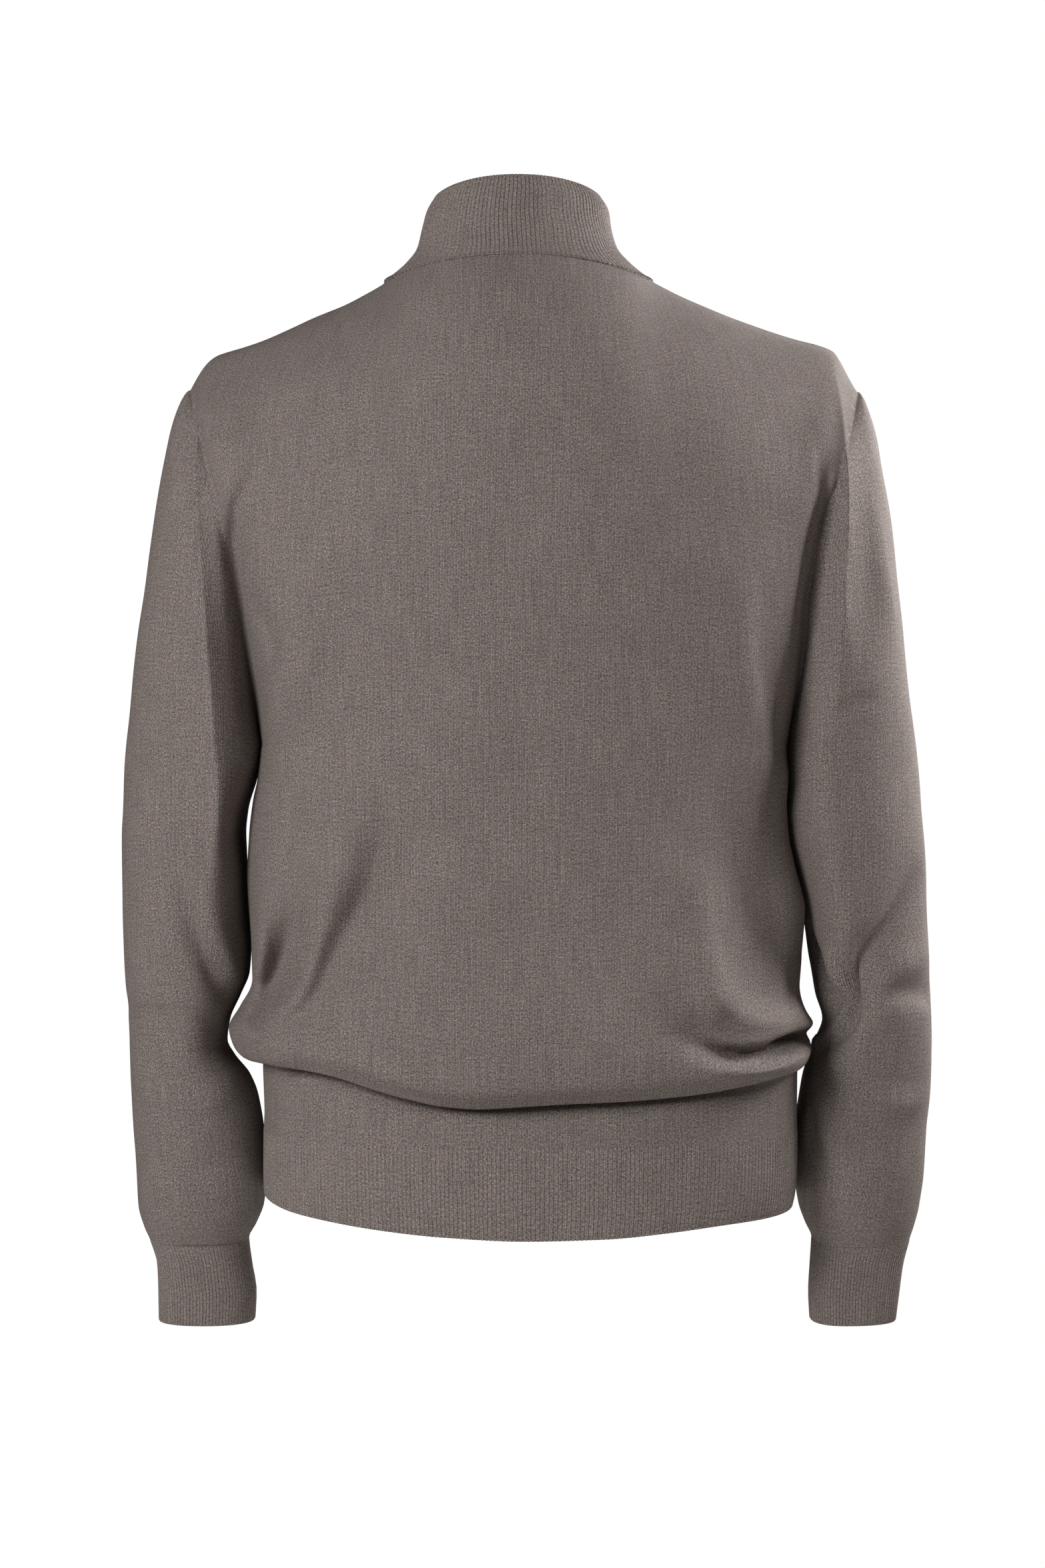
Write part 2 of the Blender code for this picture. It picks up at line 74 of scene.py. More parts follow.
BODY = table(
    "z     left  right back front",
    (-645, 171, -176, 115, -115),
    (-615, 174, -182, 119, -118),
    (-577, 175, -183, 120, -119),
    (-540, 174, -183, 121, -120),
    (-500, 178, -182, 121, -122),
    (-460, 183, -186, 118, -122),
    (-430, 185, -184.5, 116.5, -122),
    (-400, 186, -177, 116, -122),
    (-380, 185.5, -172.5, 116, -122),
    (-360, 183, -170.5, 116.5, -122),
    (-340, 178.5, -172.5, 117, -122),
    (-320, 176, -176, 118, -122),
)
BODY_SQUARENESS = 2.5
HEM_EDGE = table(
    "across z",
    (-176, -628),
    (-140, -629),
    (-95, -632),
    (-50, -635),
    (0, -636),
    (53, -634),
    (93, -630.5),
    (135, -626),
    (155, -623.5),
    (172, -620),
)
print("body sections:", len(BODY["z"]))

# %% [markdown]
# ### The slack over the hem
#
# The body is longer than it needs to be, and the hem rib holds it in, so the slack hangs over the rib in
# a rounded lip. One table says how low the lip hangs and how far it stands out at each place across, and
# another follows the cloth through it: out of the tuck, round the lip and back to the flat cloth above.

# %% The lip over the hem
LIP_BACK = table(
    "across z overhang",
    (-182, -531, 10),
    (-170, -534, 14),
    (-130, -541, 20),
    (-79, -546.5, 23),
    (-30, -549.5, 25),
    (23, -551.5, 26),
    (50, -550, 26),
    (70, -546.5, 25),
    (92, -541, 24),
    (118, -534, 23),
    (144, -530, 22),
    (172, -528, 21),
)
LIP_FRONT = table(
    "across z overhang",
    (-182, -531, 10),
    (-130, -543, 19),
    (-50, -554, 23),
    (40, -556, 24),
    (110, -546, 22),
    (172, -528, 21),
)
LIP_PATH = table(
    "side_up side_out middle_up middle_out",
    (6, 0.00, 3, 0.00),
    (12, 0.12, 10, 0.12),
    (6, 0.32, 5, 0.32),
    (0, 0.58, 0, 0.56),
    (7, 0.90, 9, 0.90),
    (18, 1.00, 24, 1.00),
    (32, 0.58, 45, 0.84),
    (52, 0.06, 78, 0.50),
    (82, 0.00, 118, 0.16),
    (112, 0.00, 165, 0.00),
)
LIP_STEPS = np.arange(len(LIP_PATH["side_up"]))
print("the lip hangs to", LIP_BACK["z"].min(), "mm")

# %% [markdown]
# ### Shoulders and armholes
#
# The shoulders are dropped: each shoulder seam runs out past the shoulder's point, and the armhole hangs
# down the upper arm. The yoke table follows every column of cloth from the underarm up and over to the
# shoulder seam, as shares of its height, its depth and its widening.

# %% Shoulders, yoke and armholes
SHOULDER = table(
    "z    left right",
    (-8, 95, 87),
    (-15, 107, 101),
    (-24, 123, 123),
    (-33, 145, 145),
    (-46.5, 176, 184),
    (-51, 189, 200),
    (-55.5, 203, 210),
    (-60, 214, 214),
    (-69, 221, 219),
    (-79, 226, 225),
)
YOKE = table(
    "height back front widening",
    (0.00, 1.00, 1.00, 0.00),
    (0.14, 1.02, 1.01, 0.05),
    (0.28, 1.055, 1.02, 0.13),
    (0.42, 1.08, 1.01, 0.25),
    (0.55, 1.07, 0.95, 0.38),
    (0.67, 1.005, 0.85, 0.53),
    (0.77, 0.88, 0.70, 0.67),
    (0.86, 0.69, 0.52, 0.80),
    (0.93, 0.45, 0.34, 0.90),
    (0.975, 0.23, 0.18, 0.96),
    (1.00, 0.00, 0.00, 1.00),
)
YOKE_STEPS = np.linspace(0, 1, len(YOKE["height"]))
ARMHOLE_PULL = 0.38
ARMHOLE = table(
    "z back_x back_y front_x front_y",
    (-320, 176, 0, 176, 0),
    (-291, 180.5, 27, 177, -31),
    (-261, 184.5, 46, 179, -51),
    (-241, 187, 54, 180, -59),
    (-217, 190, 60, 183, -64),
    (-192, 194, 62, 187, -65),
    (-167, 199, 59, 194, -62),
    (-140, 207, 53, 203, -57),
    (-113, 215, 41, 212, -47),
    (-95, 220, 27, 218, -34),
    (-85, 224, 12, 223, -20),
    (-79, 225.5, -5, 225.5, -5),
)
print("armhole depth:", ARMHOLE_TOP_Z - UNDERARM_Z, "mm")

# %% [markdown]
# ### Sleeves and collar
#
# A relaxed arm bends a little at the elbow, so each sleeve's sections shift outwards, forwards and back
# again on the way down. The collar is a short standing tube, higher at the back than at the front.

# %% Sleeves and collar
SLEEVE = table(
    "z    out_l in_l  out_r in_r  ridge back front middle",
    (-713, 250.5, 185, 254.5, 196, 217, -3, -62, -31),
    (-695, 250.5, 184, 256.5, 195, 217, 1, -61, -29),
    (-675, 251, 187, 259, 196, 219, 4, -61, -28),
    (-658, 256, 189, 263.5, 197, 221, 8, -66, -28),
    (-648, 260, 184, 266.5, 193, 222, 15, -74, -28),
    (-634, 263.5, 178.5, 270, 188.5, 222, 21, -79, -27),
    (-612, 264.5, 176.5, 272.5, 185.5, 222, 26, -79, -24),
    (-580, 265.5, 178, 273, 184.3, 222, 31, -76, -20),
    (-560, 266.3, 181, 274.5, 187, 222.5, 35, -74.5, -17.5),
    (-545, 267, 187, 275.5, 189.5, 223, 38, -73, -15),
    (-533, 267.5, 197, 276, 193.5, 224, 41, -71.5, -13),
    (-522, 268, 203, 276, 198, 225, 43, -70, -11),
    (-507, 268.5, 201, 275.5, 203, 225, 46.5, -69, -10),
    (-490, 269, 193.5, 274.5, 198.5, 224, 50, -68, -9),
    (-475, 269.5, 187, 273.5, 196, 222, 52, -67.5, -8),
    (-460, 270, 185.8, 273, 193, 219, 54, -67, -7),
    (-430, 271, 188, 272, 188.5, 213, 57, -67, -6),
    (-400, 271.5, 189, 270.5, 180.5, 207, 59, -68, -6),
    (-380, 271.5, 190, 269, 176, 204, 61, -69, -6),
    (-365, 271, 188, 267.5, 175, 202, 62, -70, -6),
    (-345, 270.5, 181.5, 266, 177, 201, 63, -72, -6),
    (-320, 269, 176, 264, 176, 203, 65, -75, -6),
    (-286, 265, 176, 259.5, 176, 206, 67, -78, -6),
    (-252, 261, 176, 255.5, 176, 209, 68, -80, -6),
    (-219, 256.5, 176, 252, 176, 212, 68, -80, -6),
    (-187, 251, 176, 248, 176, 215, 67, -77, -6),
    (-158, 247, 176, 244, 176, 218, 63, -71, -5),
    (-134, 243, 176, 240, 176, 220, 56, -63, -5),
    (-113, 238.5, 176, 236.5, 176, 223, 44, -53, -5),
    (-96, 234, 176, 232, 176, 225, 30, -39, -5),
    (-85, 229.5, 176, 228.5, 176, 226, 13, -22, -5),
    (-79, 225.5, 176, 225.5, 176, 225.5, -5, -5, -5),
)
SLEEVE_SQUARENESS = 2.2
COLLAR = table(
    "left right back front z_side z_back z_front dip",
    (95, -87, 77, -80, -8, -4, -38, 3),
    (80.3, -71.7, 72, -76, 4, 6, -26, 2),
    (72.6, -62.8, 67, -72, 14, 17, -14, 1),
    (69, -58.5, 62, -68, 28, 30, 1, 0),
    (66, -57, 57, -64, 39, 42, 14, 0),
    (61, -52, 54, -61, 47.5, 52, 25, 0),
)
COLLAR_SQUARENESS = 2.1
COLLAR_STEPS = np.arange(len(COLLAR["left"]))
print("sleeve sections:", len(SLEEVE["z"]), "collar sections:", len(COLLAR_STEPS))

# %% [markdown]
# ## Reading the tables
#
# Straight lines between the sections would leave creases that the cloth doesn't have, and an ordinary
# spline swings past its points. This curve is smooth and never overshoots.

# %% Smooth reading
def smooth(xs, ys, at):
    """A curve through the points that never swings past them, held level beyond both ends."""
    xs, ys, at = np.asarray(xs, float), np.asarray(ys, float), np.asarray(at, float)
    step = np.diff(xs)
    rise = np.diff(ys) / step
    slope = np.zeros(len(xs))
    same_way = rise[:-1] * rise[1:] > 0
    before, after = rise[:-1][same_way], rise[1:][same_way]
    slope[1:-1][same_way] = 2 * before * after / (before + after)
    slope[0], slope[-1] = rise[0], rise[-1]
    at = np.clip(at, xs[0], xs[-1])
    i = np.clip(np.searchsorted(xs, at, side="right") - 1, 0, len(xs) - 2)
    t = (at - xs[i]) / step[i]
    from_ends = ys[i] * (1 + 2 * t) * (1 - t) ** 2 + ys[i + 1] * t**2 * (3 - 2 * t)
    from_slopes = step[i] * (slope[i] * t * (1 - t) ** 2 - slope[i + 1] * t**2 * (1 - t))
    return from_ends + from_slopes


def read(source, column, key, at):
    """One column of a table, read smoothly at a value of its key column, which rises."""
    order = np.argsort(source[key])
    return smooth(source[key][order], source[column][order], at)


def blend_in(low, high, at):
    """0 at low, 1 at high, and a soft step between them."""
    t = np.clip((np.asarray(at, float) - low) / (high - low), 0, 1)
    return t * t * (3 - 2 * t)


def lengths(points):
    """The distance run along rows of points, from the first one."""
    spans = np.linalg.norm(np.diff(points, axis=-2), axis=-1)
    start = np.zeros(spans.shape[:-1] + (1,))
    return np.concatenate([start, np.cumsum(spans, axis=-1)], axis=-1)


def follow(line, along, at):
    """The places of a line at the distances at, where along holds the distances of its points."""
    return np.stack([np.interp(at, along, line[:, k]) for k in range(3)], 1)


print("body at the waist:", round(float(read(BODY, "left", "z", -500))), "mm to the left")

# %% [markdown]
# ## Rings in plan
#
# Each level of the body is a rounded oblong with its own reach to every side. A power of the sine and
# cosine squares the oblong a little, and even steps of length along it keep the cloth's columns evenly
# spaced, so that a knit drawn along them isn't stretched.

# %% Rounded oblongs
FINE_STEPS = 2000  # for curves that are only measured
BODY_TYPICAL = (180, 120)  # mm to the side and to the back, for which the columns are spaced
PANEL_MIDDLE, PANEL_SIDE = 95, 172


def quarter_angles(squareness, wide, deep, shares):
    """The angles at even steps of length along a quarter of a rounded oblong, side to middle."""
    angle = np.linspace(0, math.pi / 2, FINE_STEPS)
    x = wide * np.cos(angle) ** (2 / squareness)
    y = deep * np.sin(angle) ** (2 / squareness)
    along = lengths(np.stack([x, y], 1))
    return np.interp(shares, along / along[-1], angle)


def half_ring(shares, squareness, typical, left, right, side_y, end_y):
    """Half a ring in plan, from the left side (0) round to the right side (1), and which way is out."""
    from_side = 1 - np.abs(2 * shares - 1)
    angle = quarter_angles(squareness, *typical, from_side)
    reach = np.where(shares < 0.5, left, right)
    across = np.clip(np.cos(angle), 0, 1) ** (2 / squareness)
    deep = np.clip(np.sin(angle), 0, 1) ** (2 / squareness)
    out_x = across ** (squareness - 1) / reach
    out_y = deep ** (squareness - 1) / (end_y - side_y)
    length = np.hypot(out_x, out_y)
    return reach * across, side_y + (end_y - side_y) * deep, out_x / length, out_y / length


def body_plan(shares, z, facing):
    """The plain body tube in plan at the heights z, on the back or the front."""
    left, right, end = (read(BODY, name, "z", z) for name in ("left", "right", facing))
    return half_ring(shares, BODY_SQUARENESS, BODY_TYPICAL, left, right, 0.0, end)


def sideness(x):
    """0 across the middle of a panel and 1 at its sides."""
    return blend_in(PANEL_MIDDLE, PANEL_SIDE, np.abs(x))


across_hem = body_plan(np.array([0.0, 0.25, 0.5]), np.full(3, float(HEM_SEAM_Z)), "back")[0]
print("hem seam, left side to middle:", across_hem.round(), "mm across")

# %% [markdown]
# ## The lower body
#
# The cloth is a grid: rows run round the body and columns run up it. Each row between the hem seam and
# the top of the lip has a place t on the lip's path, and the rows above that climb evenly.

# %% Rows from the hem to the underarm
SHOULDER_COLUMNS = 66
NECK_COLUMNS = 70
SHOULDER_SHARE = 7 / 24
BODY_SHARES = np.interp(
    np.arange(2 * SHOULDER_COLUMNS + NECK_COLUMNS + 1),
    np.cumsum([0, SHOULDER_COLUMNS, NECK_COLUMNS, SHOULDER_COLUMNS]),
    [0, SHOULDER_SHARE, 1 - SHOULDER_SHARE, 1],
)
CLOTH_STEP = 2.8
LIP_START = -2  # the hem seam's place on the lip's path
MEASURED_PLACES = 300


def lip_row(facing, t):
    """A body row at a place on the lip's path, from the hem seam by the tuck (0) to the flat cloth."""
    lip = LIP_BACK if facing == "back" else LIP_FRONT
    level = np.full(len(BODY_SHARES), float(HEM_SEAM_Z))
    x, y, _, _ = body_plan(BODY_SHARES, level, facing)
    seam = np.stack([x, y, level], 1)
    side = sideness(x)
    up, share = (
        smooth(LIP_STEPS, LIP_PATH["middle" + part], max(t, 0)) * (1 - side)
        + smooth(LIP_STEPS, LIP_PATH["side" + part], max(t, 0)) * side
        for part in ("_up", "_out")
    )
    z = read(lip, "z", "across", x) + up
    x, y, out_x, out_y = body_plan(BODY_SHARES, z, facing)
    out = share * read(lip, "overhang", "across", x)
    row = np.stack([x + out_x * out, y + out_y * out, z], 1)
    return row if t >= 0 else seam + (row - seam) * (t - LIP_START) / -LIP_START


def even_places(curve, low, high, step):
    """Places from low to high at which the points of a curve lie a step apart."""
    places = np.linspace(low, high, MEASURED_PLACES)
    along = lengths(np.array([curve(place) for place in places]))
    count = max(1, round(along[-1] / step))
    return np.interp(np.linspace(0, along[-1], count + 1), along, places)


def lower_rows(facing):
    """A body panel's rows from the hem seam through the lip to the underarm."""
    middle = len(BODY_SHARES) // 2
    places = even_places(lambda t: lip_row("back", t)[middle], LIP_START, LIP_STEPS[-1], CLOTH_STEP)
    rows = [lip_row(facing, t) for t in places]
    top = rows[-1][:, 2]
    count = round((UNDERARM_Z - top.mean()) / CLOTH_STEP)
    for k in range(1, count + 1):
        z = top + (UNDERARM_Z - top) * k / count
        x, y, _, _ = body_plan(BODY_SHARES, z, facing)
        rows.append(np.stack([x, y, z], 1))
    return rows


print("rows below the underarm:", len(lower_rows("back")))

# %% [markdown]
# ## The yoke
#
# Above the underarm, every column follows the yoke's profile up to the shoulder seam, or leaves it early
# where the collar is sewn on. Near the armhole the columns are pulled to the armhole's own line.

# %% The top edges of a body panel
COLLAR_TYPICAL = (90, 80)


def collar_ring(level, shares, facing):
    """A ring of the collar at a level between its sections, on the back or the front."""
    row = {name: smooth(COLLAR_STEPS, COLLAR[name], level) for name in COLLAR}
    middle = (row["left"] + row["right"]) / 2
    reach = (row["left"] - row["right"]) / 2
    end = row[facing]
    x, y, _, _ = half_ring(shares, COLLAR_SQUARENESS, COLLAR_TYPICAL, reach, -reach, SHOULDER_Y, end)
    toward_end = np.clip((y - SHOULDER_Y) / (end - SHOULDER_Y), 0, 1)
    z = row["z_side"] + (row["z_" + facing] - row["z_side"]) * toward_end**2
    z -= row["dip"] * np.sin(math.pi * toward_end)
    return np.stack([x + middle, y, z], 1)


def shoulder_line(side):
    """The shoulder seam from the top of the armhole in to the collar seam, evenly spaced."""
    across = SHOULDER["left"] if side > 0 else -SHOULDER["right"]
    along = lengths(np.stack([across, SHOULDER["z"]], 1))
    at = np.linspace(along[-1], 0, SHOULDER_COLUMNS + 1)
    x, z = smooth(along, across, at), smooth(along, SHOULDER["z"], at)
    x[0], z[0] = side * ARMHOLE["back_x"][-1], ARMHOLE_TOP_Z
    return np.stack([x, np.full(len(at), float(SHOULDER_Y)), z], 1)


def top_row(facing):
    """The top edge of a body panel: one shoulder seam, its half of the neck, the other shoulder."""
    neck = collar_ring(0, np.linspace(0, 1, NECK_COLUMNS + 1), facing)
    return np.concatenate([shoulder_line(1)[:-1], neck, shoulder_line(-1)[::-1][1:]])


print("left shoulder seam:", round(float(lengths(shoulder_line(1))[-1])), "mm")

# %% Rows from the underarm to the shoulders and the neck
YOKE_ROWS = 104
NECK_LEAVES = 0.5  # no column leaves the yoke's profile for the collar before this share of it


def armhole_point(facing, z, side):
    """A point of the armhole seam."""
    x = read(ARMHOLE, facing + "_x", "z", z)
    return np.array([side * x, read(ARMHOLE, facing + "_y", "z", z), z])


def armhole_height(step):
    """The armhole's height at a step of the yoke, from 0 at the underarm to 1."""
    return UNDERARM_Z + (ARMHOLE_TOP_Z - UNDERARM_Z) * smooth(YOKE_STEPS, YOKE["height"], step)


def upper_rows(bottom, facing):
    """A body panel's rows above the underarm, up to the shoulder seams and the neck."""
    top = top_row(facing)
    profile = {name: lambda at, name=name: smooth(YOKE_STEPS, YOKE[name], at) for name in YOKE}
    falling = np.linspace(1, NECK_LEAVES, FINE_STEPS)
    depth_at_top = (top[:, 1] - SHOULDER_Y) / (bottom[:, 1] - SHOULDER_Y)
    end = np.interp(depth_at_top, profile[facing](falling), falling)
    near_left = np.clip(1 - BODY_SHARES / ARMHOLE_PULL, 0, 1)[:, None] ** 2
    near_right = near_left[::-1]
    rows = []
    for step in np.linspace(0, 1, YOKE_ROWS + 1)[1:]:
        at = end * step
        sideways = (profile["widening"](at) / profile["widening"](end))[:, None]
        upwards = (profile["height"](at) / profile["height"](end))[:, None]
        row = bottom + (top - bottom) * np.hstack([sideways, sideways, upwards])
        row[:, 1] = SHOULDER_Y + (bottom[:, 1] - SHOULDER_Y) * profile[facing](at)
        left = armhole_point(facing, armhole_height(step), 1) - row[0]
        right = armhole_point(facing, armhole_height(step), -1) - row[-1]
        rows.append(row + near_left * left + near_right * right)
    rows[-1] = top
    return rows


def body_panel(facing):
    """Back or front as a grid of points: rows from the hem seam up, columns from left to right."""
    rows = lower_rows(facing)
    return np.array(rows + upper_rows(rows[-1], facing))


print("grid of the back:", body_panel("back").shape)

# %% [markdown]
# ## The sleeves
#
# A sleeve's rows share the armhole's heights with the body, so that both meet at every point of the
# seam. Above the underarm a row is open towards the body, and below it the row closes into a ring.

# %% Sleeve rings
SLEEVE_QUARTER = 34
SLEEVE_STEP = 3.2
SETTLE = 60  # mm below the underarm in which a ring's start moves to the middle of the arm


def arc(start, end, shares):
    """A quarter turn in plan that leaves start along Y and reaches end along X."""
    angle = shares * math.pi / 2
    across = 1 - np.clip(np.cos(angle), 0, 1) ** (2 / SLEEVE_SQUARENESS)
    deep = np.sin(angle) ** (2 / SLEEVE_SQUARENESS)
    x = start[0] + (end[0] - start[0]) * across
    y = start[1] + (end[1] - start[1]) * deep
    return np.stack([x, y], 1)


def sleeve_ring(z, side, quarter=SLEEVE_QUARTER):
    """A sleeve's row at a height: from its inner line round the back, outside and front to it again."""
    hand = "_l" if side > 0 else "_r"
    names = ("out" + hand, "in" + hand, "ridge", "back", "front", "middle")
    out, inner, ridge, back, front, middle = (read(SLEEVE, name, "z", z) for name in names)
    if z >= UNDERARM_Z:
        first = armhole_point("back", z, 1)[:2]
        last = armhole_point("front", z, 1)[:2]
    else:
        settle = blend_in(UNDERARM_Z, UNDERARM_Z - SETTLE, z)
        first = last = [inner, middle * settle]
    t = np.linspace(0, 1, quarter + 1)
    quarters = [
        arc(first, (ridge, back), t),
        arc((out, middle), (ridge, back), t)[::-1],
        arc((out, middle), (ridge, front), t),
        arc(last, (ridge, front), t)[::-1],
    ]
    plan = np.concatenate([quarters[0], *[part[1:] for part in quarters[1:]]])
    return np.column_stack([side * plan[:, 0], plan[:, 1], np.full(len(plan), float(z))])


def sleeve_panel(side):
    """A sleeve as rows from the armhole's top down to the cuff seam."""
    upper = [armhole_height(step) for step in np.linspace(1, 0, YOKE_ROWS + 1)]
    count = round((UNDERARM_Z - CUFF_SEAM_Z) / SLEEVE_STEP)
    lower = np.linspace(UNDERARM_Z, CUFF_SEAM_Z, count + 1)[1:]
    return np.array([sleeve_ring(z, side) for z in [*upper, *lower]])


print("grid of a sleeve:", sleeve_panel(1).shape)

# %% [markdown]
# ## Folds
#
# The creases of a worn sweater aren't random. They run from the underarms, gather where the sleeve bends
# and hang where the body is slack. Each is placed as a path with a lift at every point: below 0 is a
# trough and above 0 a ridge. Its two sides have widths of their own, because cloth often drops away
# steeply on one side and softly on the other: first the plus side, which lies towards +X on a path that
# runs down. The power shapes the two sides: 1 is a sharp crest, 2 a soft one, 4 a flat one with steep sides.

# %% How a fold lifts the cloth
PATH_POINTS = 48
FOLD_REACH = 60  # mm from its path, past which a fold lifts nothing


def crease(wide, *path, power=(2, 2)):
    """A fold: the points of its path as a fine smooth curve, and the width and power of its two sides."""
    points = np.array(path, float)
    along = lengths(points[:, :2])
    at = np.linspace(0, along[-1], PATH_POINTS)
    return np.stack([smooth(along, points[:, k], at) for k in range(3)], 1), wide, power


def fold_lift(places, fold):
    """How far a fold lifts the cloth at each place."""
    path, wide, power = fold
    low, high = path[:, :2].min(0) - FOLD_REACH, path[:, :2].max(0) + FOLD_REACH
    near = np.all((places > low) & (places < high), axis=1)
    at = places[near]
    best = np.full(len(at), np.inf)
    lift, plus = np.zeros(len(at)), np.zeros(len(at), bool)
    for a, b in zip(path[:-1], path[1:]):
        way = (b - a)[:2]
        t = np.clip((at - a[:2]) @ way / (way @ way), 0, 1)
        off = at - a[:2] - t[:, None] * way
        away = np.hypot(off[:, 0], off[:, 1])
        nearer = away < best
        best[nearer] = away[nearer]
        lift[nearer] = (a[2] + t * (b[2] - a[2]))[nearer]
        plus[nearer] = (way[0] * off[:, 1] - way[1] * off[:, 0])[nearer] > 0
    total = np.zeros(len(places))
    total[near] = lift * np.exp(-((best / np.where(plus, *wide)) ** np.where(plus, *power)))
    return total


ridge = crease((6, 12), (0, 0, 5), (40, 0, 5))
beside = fold_lift(np.array([[20.0, 6.0], [20.0, -6.0]]), ridge)
print("6 mm to either side of a ridge of 5 mm:", beside.round(1), "mm")


# %% [markdown]
# ### Folds round the armholes
#
# A dropped shoulder leaves spare cloth beside the arm: a soft ridge runs down just outside the seam, a
# dark valley lies on the body side of it, and a second ridge shows where the back turns under the arm.
# These are seen from behind, across and up, in millimetres.

# %% Folds round the armholes
ARMHOLE_FOLDS = (
    # left valley
    crease((6, 15), (168, -141, 0), (178, -155, -4), (186, -170, -10), (188, -190, -15), (187, -208, -16),
           (186, -228, -15), (184, -250, -13), (182, -275, -11), (180, -300, -9), (177, -325, -4)),
    # left seam, which doesn't pull in where the shoulder is dropped
    crease((15, 24), (212, -84, 0), (208, -100, 6), (203, -115, 11), (199, -140, 15), (195, -165, 16),
           (192, -190, 13), (190, -215, 8), (189, -240, 3), (188, -260, 0)),
    # left drop of the sleeve
    crease((8, 9), (206, -70, 0), (213, -82, 0.5), (214, -130, 1), (214, -148, 1.5), (212, -171, 2.5),
           (209, -196, 4), (208, -226, 5), (206, -255, 6), (204, -284, 6), (202, -313, 5.5), (200, -352, 4),
           (199, -400, 2), (198, -440, 0)),
    # its sharp crest
    crease((5, 5), (206, -72, 0), (213, -82, 4), (214, -99, 5), (214, -148, 5), (212, -171, 5),
           (208, -226, 4.5), (204, -284, 3.5), (200, -352, 2), (199, -400, 0), power=(1, 1)),
    # left flat outside of that ridge
    crease((14, 12), (234, -105, 0), (236, -150, -3.5), (234, -200, -5), (230, -260, -5), (227, -320, -3.5),
           (224, -380, 0)),
    # left turn of the back
    crease((9, 24), (140, -185, 0), (143, -205, 3), (147, -228, 5), (151, -256, 7.5), (157, -281, 9),
           (163, -300, 9), (170, -325, 7.5), (176, -350, 0)),
    # left web
    crease((5, 6), (182, -215, 0), (175, -230, -4.5), (166, -248, -6.5), (160, -268, -4.5), (157, -288, 0)),
    # right seam, as on the left
    crease((22, 14), (-211, -84, 0), (-209, -100, 5), (-206, -120, 9), (-203, -140, 11), (-199, -155, 11),
           (-195, -175, 9), (-192, -200, 6), (-190, -225, 3), (-189, -245, 0)),
    # right valley, a strip that lies deeper than the cloth on both sides
    crease((5.5, 5.5), (-192, -124, 0), (-194, -140, -2.5), (-194, -156, -4.5), (-190, -171, -5.5),
           (-186, -189, -6), (-183, -212, -5.5), (-180, -235, -4.5), (-179, -264, -3), (-178, -283, -2),
           (-177, -313, 0), power=(4, 4)),
    # its crease, where the cloth is caught in the seam
    crease((3, 5), (-208, -144, 0), (-203, -155, -4), (-195, -175, -8), (-189, -206, -9), (-184, -230, -7),
           (-182, -250, -4), (-181, -274, 0)),
    # crest of the right drop
    crease((5, 5), (-204, -70, 0), (-207, -82, 4), (-208, -100, 5), (-209, -130, 6), (-210, -160, 6),
           (-209, -195, 5), (-208, -225, 3.5), (-206, -265, 0), power=(1, 1)),
    # right drop of the sleeve
    crease((7, 9), (-213, -85, 0), (-211, -105, 1.5), (-210, -133, 2.5), (-210, -152, 3), (-210, -179, 4),
           (-209, -206, 4.5), (-207, -226, 4.5), (-205, -255, 3.5), (-203, -310, 0)),
    # right flat outside of that ridge
    crease((10, 12), (-226, -110, 0), (-227, -150, -3.5), (-227, -190, -3.5), (-225, -240, -2.5),
           (-222, -290, 0)),
    # right turn of the back
    crease((20, 8), (-138, -200, 0), (-140, -220, 3), (-143, -256, 6), (-146, -281, 7.5), (-151, -304, 9),
           (-157, -327, 8), (-163, -350, 6), (-170, -380, 0)),
)
print("armhole folds:", len(ARMHOLE_FOLDS))

# %% [markdown]
# ### Folds of the slack body
#
# Above the lip the slack gathers into diagonal troughs that run down and out to both sides, and on the
# right a second small roll lies over the lip.

